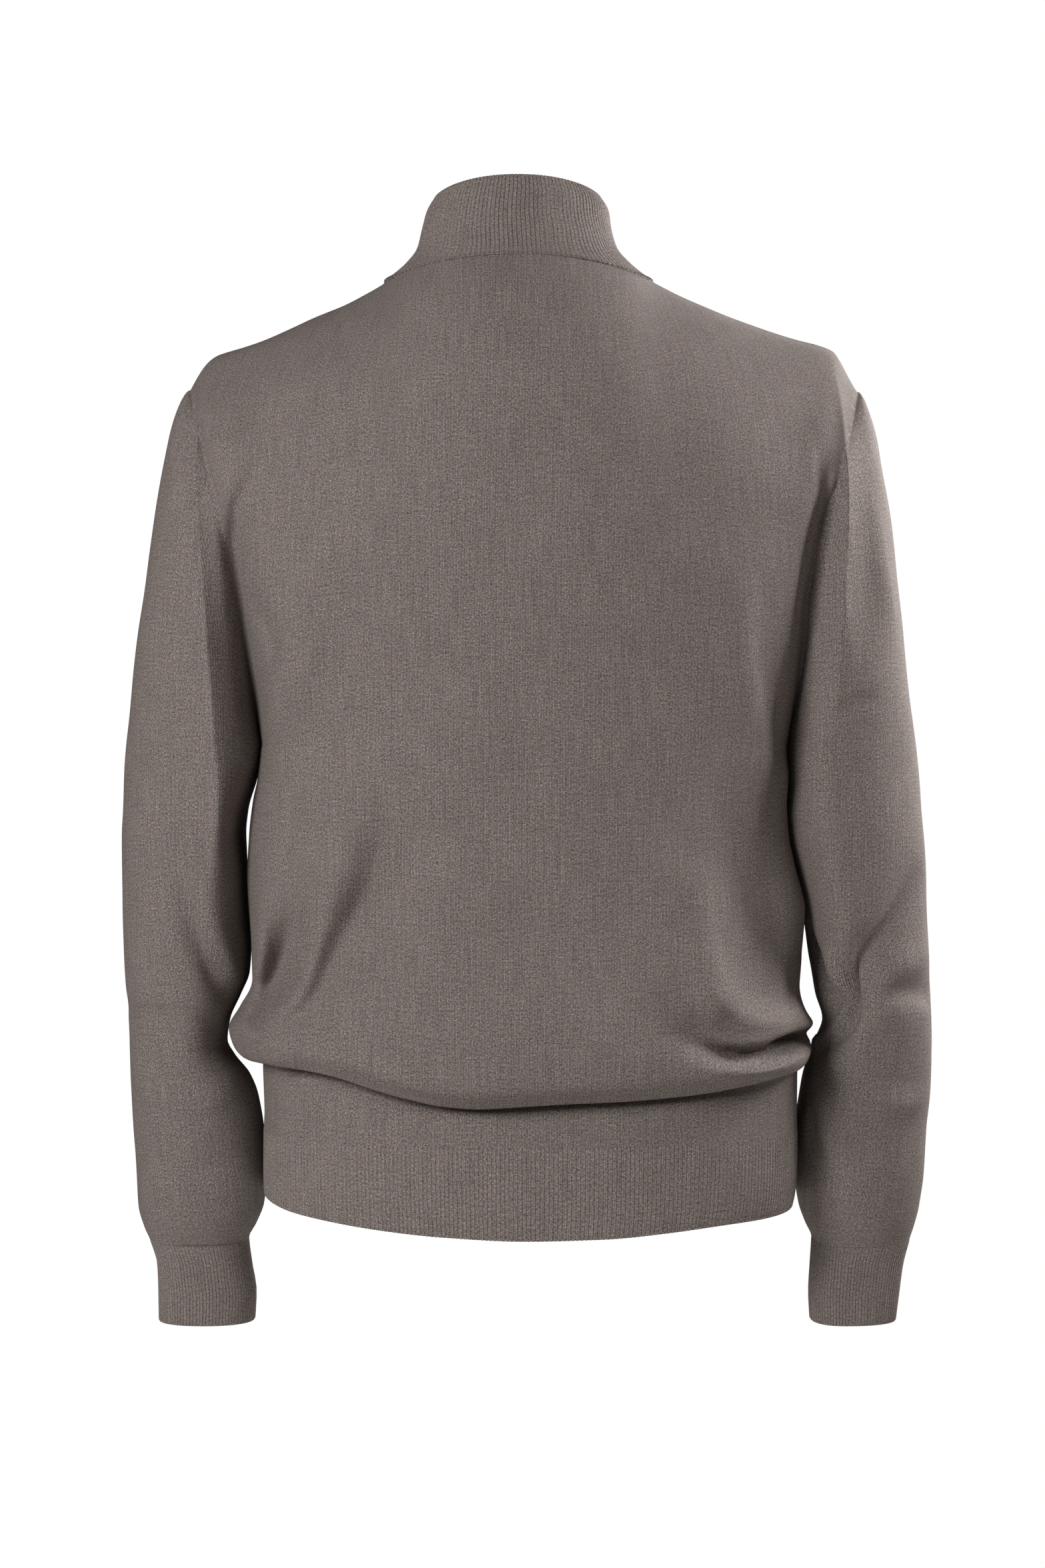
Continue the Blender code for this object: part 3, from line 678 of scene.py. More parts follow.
# %% Folds of the back
BACK_FOLDS = (
    # left hollow beside the lip's corner
    crease((11, 16), (140, -396, 0), (147, -424, -8), (152, -446, -18), (158, -464, -25), (165, -480, -24),
           (171, -491, -15), (180, -503, 0)),
    # roll at the side, outside of that hollow
    crease((7, 7), (168, -400, 0), (171, -430, 6), (173, -455, 10), (176, -478, 10), (182, -500, 0)),
    # ridge that runs down into the corner
    crease((8, 8), (124, -430, 0), (133, -452, 4), (142, -477, 8), (158, -493, 11), (173, -505, 10),
           (186, -514, 0)),
    # long left trough
    crease((12, 26), (80, -350, 0), (92, -395, -8), (104, -426, -15), (114, -444, -18), (123, -463, -20),
           (130, -479, -19), (140, -493, -14), (153, -505, -6), (166, -514, 0)),
    # faint third trough
    crease((14, 16), (62, -360, 0), (66, -381, -2.5), (76, -412, -5), (88, -441, -6), (98, -471, -4),
           (108, -500, 0)),
    # swell between the troughs and the side
    crease((12, 14), (108, -335, 0), (114, -365, 3), (122, -395, 5), (133, -425, 5), (143, -448, 0)),
    # right hollow over the second roll
    crease((16, 26), (-130, -335, 0), (-136, -370, -6), (-142, -402, -13), (-148, -430, -18),
           (-155, -452, -17), (-162, -470, -9), (-170, -484, 0)),
    # short crease under the right arm
    crease((3, 4), (-143, -334, 0), (-149, -325, -2), (-154, -318, -2.4), (-162, -310, 0)),
    # ridge beside the right hollow
    crease((16, 8), (-108, -385, 0), (-114, -412, 4), (-117, -440, 7.5), (-121, -462, 9), (-128, -480, 7),
           (-136, -492, 0)),
    # swell of the upper roll
    crease((10, 10), (-104, -470, 0), (-122, -484, 5), (-140, -494, 8), (-157, -498, 10), (-176, -498, 10),
           (-190, -495, 7)),
    # crease over the second roll
    crease((6, 4.5), (-84, -498, 0), (-100, -506, -3), (-114, -513, -8), (-129, -518, -15),
           (-148, -520, -23), (-164, -518, -29), (-178, -514, -30), (-192, -510, -20)),
    # soft start of that crease
    crease((9, 16), (-62, -478, 0), (-82, -488, -2), (-98, -496, -4), (-112, -503, -6), (-128, -509, -5),
           (-142, -512, 0)),
    # the second roll
    crease((6, 7), (-88, -524, 0), (-108, -528, 3), (-126, -530, 7), (-144, -530, 11), (-160, -528, 13),
           (-176, -525, 11), (-190, -521, 6)),
    # where the lip turns under
    crease((7, 7), (-172, -532, 0), (-150, -537, -4), (-130, -540, -7), (-79, -545, -10), (-30, -548, -11),
           (23, -550, -11), (50, -548.5, -10.5), (70, -545, -10), (92, -539.5, -9.5), (118, -532.5, -8),
           (144, -528.5, -6), (160, -527, 0)),
    # crease at the right side
    crease((4, 4), (-179, -455, 0), (-178, -465, -3.5), (-176, -476, -5), (-174, -486, -3.5),
           (-172, -495, 0)),
)
print("back folds:", len(BACK_FOLDS))

# %% [markdown]
# ### The tip of the right side
#
# The upper roll over the lip ends in a tip at the side seam, with a crease under it. Both are seen from
# that side, so their places are measured from the back to the front, and up.

# %% Folds of the right side
RIGHT_SIDE_FOLDS = (
    # where the slack body leans on the sleeve
    crease((30, 30), (0, -325, 0), (0, -350, 0.8), (0, -372, 1.2), (0, -395, 1), (0, -420, 0)),
    # and bulges a little behind it
    crease((22, 26), (36, -322, 0), (36, -345, 5), (36, -372, 6), (36, -400, 6), (36, -425, 5.5),
           (36, -448, 2), (36, -460, 0)),
    # where the upper roll ends in a tip
    crease((7, 7), (-60, -503, 0), (-25, -505, 2), (5, -507, 3), (40, -506, 3), (75, -502, 0)),
    # crease under it
    crease((4, 4), (-50, -514, 0), (-10, -514, -2.5), (30, -514, -6), (60, -514, -8), (85, -514, -5),
           (105, -514, 0)),
)
print("side folds:", len(RIGHT_SIDE_FOLDS))

# %% [markdown]
# ### Folds of the front
#
# The front isn't shown, so it gets creases of the same kinds in the same places, a little different in
# length and depth, as the two sides of a worn sweater are.

# %% Folds of the front
FRONT_ARMHOLE_FOLDS = (
    crease((6, 12), (168, -150, 0), (178, -168, -6.5), (184, -190, -10.5), (182, -220, -11.5),
           (179, -255, -10.5), (177, -290, -6.5), (176, -325, -2.5)),
    crease((13, 7), (214, -95, 1.5), (212, -130, 4), (208, -170, 5), (204, -215, 4.5), (202, -262, 3),
           (200, -310, 2), (198, -350, 0)),
    crease((9, 20), (138, -205, 0), (143, -235, 3), (150, -268, 4.5), (160, -300, 4.5), (170, -332, 0)),
    crease((12, 6), (-170, -148, 0), (-182, -165, -5), (-186, -192, -10.5), (-183, -225, -11.5),
           (-179, -262, -10.5), (-177, -300, -6.5), (-176, -330, -2.5)),
    crease((7, 13), (-213, -92, 1.5), (-211, -125, 4), (-207, -168, 5), (-204, -210, 4), (-202, -255, 2.5),
           (-200, -300, 0)),
    crease((20, 9), (-136, -212, 0), (-141, -244, 3), (-148, -276, 4.5), (-157, -306, 4.5),
           (-167, -340, 0)),
)
FRONT_FOLDS = (
    crease((9, 12), (140, -425, 0), (147, -450, -7), (157, -474, -11), (168, -495, -7), (176, -508, 0)),
    crease((11, 17), (88, -402, 0), (96, -432, -7), (110, -462, -12.5), (130, -488, -12.5), (152, -505, -7),
           (166, -514, 0)),
    crease((14, 14), (58, -385, 0), (66, -415, -3), (80, -448, -4), (96, -480, -3), (106, -505, 0)),
    crease((17, 11), (-96, -395, 0), (-108, -430, -7), (-126, -462, -12.5), (-146, -490, -12.5),
           (-162, -508, -5.5), (-172, -518, 0)),
    crease((12, 9), (-142, -432, 0), (-152, -460, -5.5), (-163, -485, -7), (-172, -503, 0)),
    crease((6, 5), (-178, -518, 0), (-160, -522, -5.5), (-140, -528, -5.5), (-122, -534, 0)),
)
print("front folds:", len(FRONT_ARMHOLE_FOLDS) + len(FRONT_FOLDS))

# %% [markdown]
# ### Folds of the sleeves
#
# A sleeve's folds go round it, so their places are measured along the cloth from the outermost line of
# the arm, towards the back, and up. The bend of the elbow makes the deepest ones.

# %% Folds of the sleeves
LEFT_SLEEVE_FOLDS = (
    crease((5, 5), (38, -288, 0), (46, -289, -2), (70, -294, -2.5), (88, -300, -2.5), (101, -308, 0)),
    crease((7, 5), (5, -494, 0), (38, -500, -3), (71, -499, -4), (93, -503, -3), (118, -510, 0)),
    crease((10, 9), (78, -392, 0), (86, -416, -4), (96, -449, -7), (107, -472, -7), (122, -487, -3),
           (136, -496, 0)),
    crease((9, 9), (102, -425, 0), (110, -450, 2), (122, -470, 3), (138, -486, 0)),
    crease((7, 9), (-20, -470, 0), (-48, -480, -4), (-80, -494, -5), (-112, -502, -3), (-135, -500, 0)),
    crease((10, 8), (20, -540, 0), (50, -552, 2.5), (85, -558, 3), (120, -548, 0)),
    crease((8, 8), (10, -592, 0), (45, -600, -2), (80, -604, -2.5), (115, -598, 0)),
    crease((9, 7), (-30, -585, 0), (-70, -596, -2.5), (-110, -590, 0)),
    crease((10, 12), (-60, -300, 0), (-80, -330, -2.5), (-105, -352, -3.5), (-135, -360, 0)),
)
RIGHT_SLEEVE_FOLDS = (
    crease((5, 5), (118, -306, 0), (108, -303, -2), (96, -297, -2.5), (85, -292, -2), (70, -290, 0)),
    crease((11, 15), (36, -398, 0), (54, -420, -7), (68, -438, -11), (84, -458, -14), (101, -488, -13),
           (119, -506, -8), (138, -520, 0)),
    crease((9, 8), (8, -486, 0), (30, -487, -4.5), (53, -485, -5), (70, -485, -3), (88, -480, 0)),
    crease((8, 9), (155, -440, 0), (146, -458, -9), (133, -475, -18), (122, -489, -15), (114, -500, 0)),
    crease((8, 7), (122, -448, 0), (113, -466, 4.5), (108, -484, 7), (116, -504, 7.5), (134, -519, 6),
           (152, -528, 0)),
    crease((7, 7), (84, -478, 0), (92, -494, -4.5), (104, -508, -4.5), (122, -522, 0)),
    crease((10, 10), (20, -455, 0), (45, -463, 3), (70, -470, 3.5), (90, -486, 0)),
    crease((8, 8), (-10, -478, 0), (-40, -486, -4.5), (-75, -498, -6), (-110, -505, -4), (-138, -500, 0)),
    crease((6, 7), (122, -560, 0), (120, -575, -3), (115, -588, -4), (110, -603, -3), (104, -618, 0)),
    crease((9, 9), (15, -552, 0), (50, -560, 2.5), (90, -556, 2.5), (118, -545, 0)),
    crease((9, 9), (-25, -590, 0), (-65, -602, -2.5), (-105, -596, 0)),
    crease((11, 11), (62, -121, 0), (72, -157, 1.5), (71, -192, 2), (62, -226, 2), (56, -261, 0)),
)
SLEEVE_FOLDS = {"left": LEFT_SLEEVE_FOLDS, "right": RIGHT_SLEEVE_FOLDS}
print("sleeve folds:", {side: len(folds) for side, folds in SLEEVE_FOLDS.items()})

# %% [markdown]
# ## Cloth from a grid
#
# Points that meet are made one, so that a closed sleeve has no open line. Each corner of each face keeps
# its place on the flat cloth in metres: that is the UV map that the knit is drawn on.

# %% Welding and normals
def merge(points, digits=4):
    """Where each different point comes first, and which of these every point is."""
    places = np.round(points.reshape(-1, 3), digits)
    _, first, index = np.unique(places, axis=0, return_index=True, return_inverse=True)
    return first, index.reshape(-1)


def weld(grid, flat, side=1):
    """A grid's points with the meeting ones made one, its faces, and each face corner's flat place."""
    first, index = merge(grid)
    spots = np.arange(index.size).reshape(grid.shape[:2])
    corners = np.stack([spots[:-1, :-1], spots[:-1, 1:], spots[1:, 1:], spots[1:, :-1]], 2)
    corners = corners.reshape(-1, 4)[:, ::side]
    return grid.reshape(-1, 3)[first], index[corners], flat.reshape(-1, 2)[corners]


def point_normals(points, faces):
    """Each point's normal, from the faces round it."""
    corners = points[faces]
    across = np.cross(corners[:, 2] - corners[:, 0], corners[:, 3] - corners[:, 1])
    normals = np.zeros(points.shape)
    for k in range(faces.shape[1]):
        np.add.at(normals, faces[:, k], across)
    return normals


def unit_rows(vectors):
    """Each row at length one."""
    return vectors / np.maximum(np.linalg.norm(vectors, axis=1, keepdims=True), 1e-9)


def border(faces, spots, count):
    """The outer edges of a sheet, as from and to points, with their flat places."""
    start, end = faces, np.roll(faces, -1, axis=1)
    real = start != end
    start, end = start[real], end[real]
    key = np.minimum(start, end) * count + np.maximum(start, end)
    _, where, uses = np.unique(key, return_inverse=True, return_counts=True)
    once = uses[where] == 1
    places, next_places = spots[real][once], np.roll(spots, -1, axis=1)[real][once]
    return start[once], end[once], places, next_places


rings = sleeve_panel(1)
print("sleeve points:", rings.size // 3, "before welding,", len(merge(rings)[0]), "after")

# %% [markdown]
# ## Making the jersey panels
#
# The folds of the body are pressed in along one axis, and fade out where the cloth turns away from it. A
# fine jersey is also never quite flat: it waves by a few tenths of a millimetre. A sum of a few slow waves
# does that without anything random, so each run makes the same sweater.

# %% Folding the panels
FACING = (5, 40)  # mm from the middle, between which the folds of back and front come in
AT_SIDE = (145, 172)  # mm across, between which the folds of a side come in


def press_folds(points, axis, sign, fade, folds):
    """Moves points along one axis by the folds seen from that side, which fade in along the axis."""
    weight = blend_in(*fade, sign * points[:, axis])
    seen = [k for k in range(3) if k != axis]
    for fold in folds:
        points[:, axis] += sign * weight * fold_lift(points[:, seen], fold)


# How fast each wave turns across, back and up (in each millimetre), where it starts, and its height in mm.
WAVES = (
    (0.050, 0.021, 0.030, 0.5, 0.34),
    (-0.036, 0.028, 0.061, 1.9, 0.30),
    (0.092, -0.030, 0.048, 4.1, 0.16),
    (0.024, 0.085, -0.090, 2.6, 0.16),
    (-0.110, 0.070, 0.120, 0.9, 0.09),
)


def slow_waves(points):
    """A few tenths of a millimetre of unevenness, smooth from panel to panel."""
    total = np.zeros(len(points))
    for a, b, c, turn, size in WAVES:
        total += size * np.sin(points @ np.array([a, b, c]) + turn)
    return total


def body_places(grid):
    """Places across a body panel, from its middle column."""
    along = lengths(grid)
    return along - along[:, along.shape[1] // 2][:, None]


def sleeve_places(grid):
    """Places round a sleeve from its outermost line, plus towards the back."""
    along = lengths(grid)
    return along[:, 2 * SLEEVE_QUARTER][:, None] - along


print("waves in the cloth:", len(WAVES))

# %% [markdown]
# ### The yoke beside the collar
#
# The columns that end at the collar lean away from those that end on the shoulder seam. The cloth between
# them is evened out, so that no ridge shows where the two meet.

# %% Smooth the yoke beside the collar
RELAX_ROWS, RELAX_COLUMNS, RELAX_TIMES = 60, 16, 30
RELAX_SHARE = 0.9


def relax(grid, column):
    """Evens out the upper rows of a grid round one column, most in the middle of it."""
    low, high = column - RELAX_COLUMNS, column + RELAX_COLUMNS + 1
    weight = blend_in(1, 0.1, np.abs(np.linspace(-1, 1, high - low)))[None, :, None]
    climb = blend_in(0, 0.35, np.linspace(0, 1, RELAX_ROWS))[:, None, None]
    # The top row is the seam, which stays.
    area = grid[-RELAX_ROWS - 1:-1]
    for _ in range(RELAX_TIMES):
        middle = (area[:, low - 1:high - 1] + area[:, low + 1:high + 1]) / 2
        area[:, low:high] += RELAX_SHARE * weight * climb * (middle - area[:, low:high])


def body_grid(facing):
    """The body panel with the cloth beside the collar evened out."""
    grid = body_panel(facing)
    for column in (SHOULDER_COLUMNS, SHOULDER_COLUMNS + NECK_COLUMNS):
        relax(grid, column)
    return grid


print("body columns:", body_grid("back").shape[1])

# %% [markdown]
# ### The four panels of jersey
#
# Back, front and both sleeves are welded here. Each point of a sleeve also keeps its place round the arm,
# for the folds, and how freely it may move: a sleeve is held at its armhole and at its cuff.

# %% Weld every jersey panel
jersey = {}
for facing, sign in (("back", 1), ("front", -1)):
    grid = body_grid(facing)
    flat = np.stack([body_places(grid), lengths(np.swapaxes(grid, 0, 1)).T], 2) * MM
    jersey[facing] = weld(grid, flat, sign)

HELD = (2, 18)  # mm from the armhole seam, between which a sleeve's own folds come in
CUFF_HELD = (CUFF_SEAM_Z, CUFF_SEAM_Z + 15)
sleeve_spots, sleeve_free = {}, {}
for hand, side in (("left", 1), ("right", -1)):
    grid = sleeve_panel(side)
    round_sleeve = sleeve_places(grid)
    down = np.broadcast_to(lengths(grid[:, 2 * SLEEVE_QUARTER])[:, None], round_sleeve.shape)
    flat = np.stack([round_sleeve, -down], 2) * MM
    jersey["sleeve_" + hand] = weld(grid, flat, side)
    height = jersey["sleeve_" + hand][0][:, 2]
    first, _ = merge(grid)
    sleeve_spots[hand] = np.stack([round_sleeve.reshape(-1)[first], height], 1)
    from_seam = np.minimum(lengths(grid), lengths(grid[:, ::-1])[:, ::-1]).reshape(-1)[first]
    # Below the underarm a sleeve is closed, and free all round.
    free = np.where(height > UNDERARM_Z - 30, blend_in(*HELD, from_seam), 1)
    sleeve_free[hand] = free * blend_in(*CUFF_HELD, height)

for name, (points, faces, _) in jersey.items():
    print(name, len(points), "points", len(faces), "faces")

# %% [markdown]
# ### Softer armholes
#
# The sections leave a corner along each armhole, but a knit seam gives, so body and sleeve run on from
# each other. Every point near the seam moves towards the middle of its neighbours, over and over, and
# less so further away. The panels are taken together, so that both sides of a seam move as one.

# %% The seams of the armholes
names = list(jersey)
sizes = [len(jersey[name][0]) for name in names]
starts = np.concatenate([[0], np.cumsum(sizes)])
every = np.concatenate([jersey[name][0] for name in names])
first, same = merge(every, 2)
cloth = every[first]
edges = []
for k, name in enumerate(names):
    corners = same[jersey[name][1] + starts[k]]
    edges += [np.stack([corners[:, j], corners[:, (j + 1) % 4]], 1) for j in range(4)]
edges = np.concatenate(edges)
edges = np.unique(np.sort(edges[edges[:, 0] != edges[:, 1]], axis=1), axis=0)
users = np.zeros((len(cloth), len(names)), bool)
for k in range(len(names)):
    users[same[starts[k]:starts[k + 1]], k] = True
on_seam = users[:, :2].any(axis=1) & users[:, 2:].any(axis=1)
print("points on the armhole seams:", int(on_seam.sum()))

# %% Soften the armholes
SOFTEN_TIMES = 90
SOFTEN_SHARE = 0.6
SOFTEN_REACH = (30, 5)  # mm from the seam, from no softening to all of it
SOFTEN_ABOVE = (UNDERARM_Z + 5, UNDERARM_Z + 45)
FAR = 1000.0
tree = KDTree(int(on_seam.sum()))
for k, point in enumerate(cloth[on_seam]):
    tree.insert(point, k)
tree.balance()
# Only points near the armholes are measured. All others are out of the softening's reach.
away = np.full(len(cloth), FAR)
for k in np.flatnonzero((np.abs(cloth[:, 0]) > 130) & (cloth[:, 2] > UNDERARM_Z - 20)):
    away[k] = tree.find(cloth[k])[2]
weight = (blend_in(*SOFTEN_REACH, away) * blend_in(*SOFTEN_ABOVE, cloth[:, 2]))[:, None]
links = np.bincount(edges.ravel(), minlength=len(cloth))[:, None]
for _ in range(SOFTEN_TIMES):
    total = np.stack([
        np.bincount(edges[:, 0], cloth[edges[:, 1], axis], len(cloth))
        + np.bincount(edges[:, 1], cloth[edges[:, 0], axis], len(cloth))
        for axis in range(3)
    ], 1)
    cloth += SOFTEN_SHARE * weight * (total / links - cloth)
for k, name in enumerate(names):
    jersey[name][0][:] = cloth[same[starts[k]:starts[k + 1]]]
print("points softened:", int((weight > 0).sum()))

# %% [markdown]
# ### Pressing the folds
#
# Folds of the body lift it straight back or forward, and folds of a sleeve lift it along its normals. The
# armhole folds are pressed into body and sleeve alike, so that both stay together at the seam.

# %% Fold every jersey panel
for name, (points, faces, _) in jersey.items():
    hand = name.replace("sleeve_", "")
    if hand in SLEEVE_FOLDS:
        out = unit_rows(point_normals(points, faces))
        for fold in SLEEVE_FOLDS[hand]:
            points += (sleeve_free[hand] * fold_lift(sleeve_spots[hand], fold))[:, None] * out
    press_folds(points, 1, 1, FACING, ARMHOLE_FOLDS)
    press_folds(points, 1, -1, FACING, FRONT_ARMHOLE_FOLDS)
    if name == "back":
        press_folds(points, 1, 1, FACING, BACK_FOLDS)
    if name == "front":
        press_folds(points, 1, -1, FACING, FRONT_FOLDS)
    if name in ("back", "front"):
        press_folds(points, 0, -1, AT_SIDE, RIGHT_SIDE_FOLDS)
print("folds pressed:", len(ARMHOLE_FOLDS) + len(BACK_FOLDS), "on the back")

# %% [markdown]
# ## Seams
#
# At a seam both panels must move the same way, or a gap opens. So the normals of points that two panels
# share are added up first, and the unevenness and the wall both follow those shared normals.

# %% Shared normals at the seams
def seam_key(point):
    """A name for a point by its place, the same on both panels of a seam."""
    return tuple(np.round(point, 2))


normals = {name: point_normals(points, faces) for name, (points, faces, _) in jersey.items()}
shared = {}
edges_of = {}
for name, (points, faces, spots) in jersey.items():
    edges_of[name] = border(faces, spots, len(points))
    for v in np.unique(np.concatenate(edges_of[name][:2])):
        shared.setdefault(seam_key(points[v]), []).append((name, v))
for users in shared.values():
    total = sum(normals[name][v] for name, v in users)
    for name, v in users:
        normals[name][v] = total
normals = {name: unit_rows(value) for name, value in normals.items()}
print("seam points:", sum(len(users) > 1 for users in shared.values()))

# %% [markdown]
# ## A closed shell
#
# Cloth has two faces and a thickness. The outer face is moved in by the wall for the inner face, and the
# two are joined all round the edges. The faces are turned so that they point out.

# %% Closed shells
JERSEY_WALL = 1.5
CALM = 12  # mm above the hem seam in which the unevenness comes in
SHARP = math.radians(80)


def add_mesh(name, points, faces, spots):
    """An object from points in millimetres, with faces as lists and a flat place for each corner."""
    mesh = bpy.data.meshes.new(name)
    mesh.from_pydata((points * MM).tolist(), [], faces)
    layer = mesh.uv_layers.new(name="knit")
    layer.data.foreach_set("uv", np.asarray(spots, np.float32).ravel())
    mesh.shade_smooth()
    mesh.set_sharp_from_angle(angle=SHARP)
    piece = bpy.data.objects.new(name, mesh)
    bpy.context.scene.collection.objects.link(piece)
    return piece


def face_lists(faces):
    """Faces as lists, without the corners that stand for the same point, and which corners stay."""
    keep = faces != np.roll(faces, 1, axis=1)
    return [[v for v, kept in zip(face, use) if kept]
            for face, use in zip(faces.tolist(), keep.tolist())], keep


def closed_shell(name, points, faces, spots, normals, edges, wall):
    """A sheet given its thickness."""
    inner = points - normals * wall
    count = len(points)
    start, end, places, next_places = edges
    rim = np.stack([end, start, start + count, end + count], 1)
    rim_spots = np.stack([next_places, places, places, next_places], 1)
    all_faces = np.concatenate([faces, faces[:, ::-1] + count, rim])
    all_spots = np.concatenate([spots, spots[:, ::-1], rim_spots])
    lists, keep = face_lists(all_faces)
    return add_mesh(name, np.concatenate([points, inner]), lists, all_spots[keep])


pieces = {}
for name, (points, faces, spots) in jersey.items():
    calm = blend_in(HEM_SEAM_Z, HEM_SEAM_Z + CALM, points[:, 2]) if name in ("back", "front") else 1
    moved = points + normals[name] * (calm * slow_waves(points))[:, None]
    pieces[name] = closed_shell(
        name + "_jersey", moved, faces, spots, normals[name], edges_of[name], JERSEY_WALL
    )
    print(name, len(pieces[name].data.polygons), "faces")

# %% [markdown]
# ## Ribs
#
# The hem, cuffs and collar are two-by-one rib: two raised wales and a groove between. The grooves are
# deep enough to show as real shape, so each rib gets eight columns of points, raised by one profile. The
# cloth turns over at its free edge, so the profile of each rib piece runs down outside, round the edge
# and up inside.

# %% Rib profile
RIB = np.array([-0.50, 0.18, 0.52, 0.42, 0.34, 0.42, 0.52, 0.18])
RIB_REPEAT = 2.8  # mm of flat rib from groove to groove, however far it is stretched on the piece


def row_normals(rows, outwards):
    """Normals of a grid of rows, turned outwards."""
    along = np.gradient(rows, axis=1)
    if np.allclose(rows[:, 0], rows[:, -1]):
        along[:, 0] = along[:, -1] = (rows[:, 1] - rows[:, -2]) / 2
    normals = np.cross(along, np.gradient(rows, axis=0))
    normals /= np.linalg.norm(normals, axis=2, keepdims=True)
    return normals * np.sign((normals * outwards).sum(axis=2, keepdims=True))


print("a rib:", RIB_REPEAT, "mm of cloth in", len(RIB), "columns of points")

# %% A ribbed band
FIRST_ROWS = (0, 1, 2, 4)
FIRST_SHARES = (0.1, 0.5, 0.5, 1.0)  # how far the ribs stand out at those rows below the seam
PINCH = 0.5  # mm by which the seam draws the grooves in, at the second row
EDGE_TURNS = (0.3, 0.5, 0.7)  # places on the half turn round the free edge


def turn_outwards(piece):
    """Turns a closed piece's faces out, if they point in."""
    mesh = piece.data
    mesh.calc_loop_triangles()
    points = np.empty(len(mesh.vertices) * 3)
    mesh.vertices.foreach_get("co", points)
    points = points.reshape(-1, 3)
    corners = np.empty(len(mesh.loop_triangles) * 3, int)
    mesh.loop_triangles.foreach_get("vertices", corners)
    a, b, c = points[corners.reshape(-1, 3)].transpose(1, 0, 2)
    volume = float((np.cross(a, b) * c).sum() / 6)
    if volume < 0:
        mesh.flip_normals()
    print(piece.name, "volume", round(abs(volume) * 1e6, 1), "cm3", len(mesh.loop_triangles), "triangles")


def rib_piece(name, outer, normals, wall, strength):
    """A ribbed band from its outer rows, which run from the seam to the free edge."""
    rows, columns, _ = outer.shape
    closed = np.allclose(outer[:, 0], outer[:, -1])
    ribs = RIB[np.arange(columns) % len(RIB)]
    swell = np.interp(np.arange(rows), FIRST_ROWS, FIRST_SHARES)[:, None] * ribs[None] * strength
    swell[1] -= PINCH * (ribs < 0)
    middle = outer - normals * wall / 2
    half = wall / 2
    loops = [middle[r] + normals[r] * (half + swell[r])[:, None] for r in range(rows)]
    down = unit_rows(outer[-1] - outer[-2])
    for turn in EDGE_TURNS:
        angle = math.pi * turn
        reach = half + swell[-1]
        edge = normals[-1] * (math.cos(angle) * reach)[:, None] + down * (math.sin(angle) * reach)[:, None]
        loops.append(middle[-1] + edge)
    loops += [middle[r] - normals[r] * (half + swell[r])[:, None] for r in reversed(range(rows))]
    grid = np.array(loops)
    across = np.arange(columns) / len(RIB) * RIB_REPEAT
    along = lengths(np.swapaxes(grid, 0, 1)).T.mean(axis=1)
    flat = np.stack(np.broadcast_arrays(across[None], along[:, None]), 2) * MM
    grid = np.concatenate([grid, grid[:1]])
    flat = np.concatenate([flat, flat[-1:]])
    points, faces, spots = weld(grid, flat)
    lists, places = faces.tolist(), [spots.reshape(-1, 2)]
    if not closed:
        index = merge(grid)[1].reshape(grid.shape[:2])
        for column, order in ((0, 1), (-1, -1)):
            lists.append(index[:-1, column][::order].tolist())
            places.append(flat[:-1, column][::order])
    piece = add_mesh(name, points, lists, np.concatenate(places))
    turn_outwards(piece)
    return piece


print("points round a free edge:", len(EDGE_TURNS))

# %% [markdown]
# ### Hem
#
# The hem band sits close on the hips under the lip. It has 175 ribs on each half.

# %% Hem rib
RIB_WALL = 2.0
RIB_STRENGTH = 0.42
BAND_SHARES = (0, 0.014, 0.028, 0.042, *np.linspace(0, 1, 9)[1:])  # close rows at the seam, then even ones
HEM_RIBS = 175


def hem_rows(facing):
    """The hem band's outer rows, from its seam down to its edge."""
    shares = np.linspace(0, 1, HEM_RIBS * len(RIB) + 1)
    seam = np.full(len(shares), float(HEM_SEAM_Z))
    x, _, _, _ = body_plan(shares, seam, facing)
    edge = read(HEM_EDGE, "z", "across", x)
    rows = []
    for share in BAND_SHARES:
        z = seam + (edge - seam) * share
        x, y, out_x, out_y = body_plan(shares, z, facing)
        # The free edge wanders in and out by a few tenths of a millimetre.
        ease = 0.7 * share * np.sin(x / 31 + 3 * share) + 0.4 * share * np.sin(x / 13 + 1)
        rows.append(np.stack([x + out_x * ease, y + out_y * ease, z], 1))
    return np.array(rows)


for facing in ("back", "front"):
    rows = hem_rows(facing)
    normals = row_normals(rows, rows * [1, 1, 0])
    pieces["hem_" + facing] = rib_piece(f"hem_{facing}_rib", rows, normals, RIB_WALL, RIB_STRENGTH)
print("hem:", HEM_RIBS, "ribs on each half")

# %% [markdown]
# ### Cuffs
#
# Each cuff is a closed band of 90 narrower ribs.

# %% Cuff ribs
CUFF_RIBS = 90
CUFF_QUARTER = 200  # points on each quarter of a ring, before the ribs' columns are read from it
for hand, side in (("left", 1), ("right", -1)):
    rows = []
    for share in BAND_SHARES:
        ring = sleeve_ring(CUFF_SEAM_Z + (CUFF_EDGE_Z - CUFF_SEAM_Z) * share, side, CUFF_QUARTER)
        along = lengths(ring)
        rows.append(follow(ring, along, np.linspace(0, along[-1], CUFF_RIBS * len(RIB) + 1)))
    rows = np.array(rows)
    rows[:, -1] = rows[:, 0]
    normals = row_normals(rows, rows - rows.mean(axis=1, keepdims=True))
    pieces["cuff_" + hand] = rib_piece(f"cuff_{hand}_rib", rows, normals, RIB_WALL, RIB_STRENGTH)

# %% [markdown]
# ### Collar
#
# The collar is rib folded double, so it is thicker, and its ribs turn over at the rim, which makes the
# rim slightly scalloped. A low band runs round its foot, where the two layers are linked to the body.

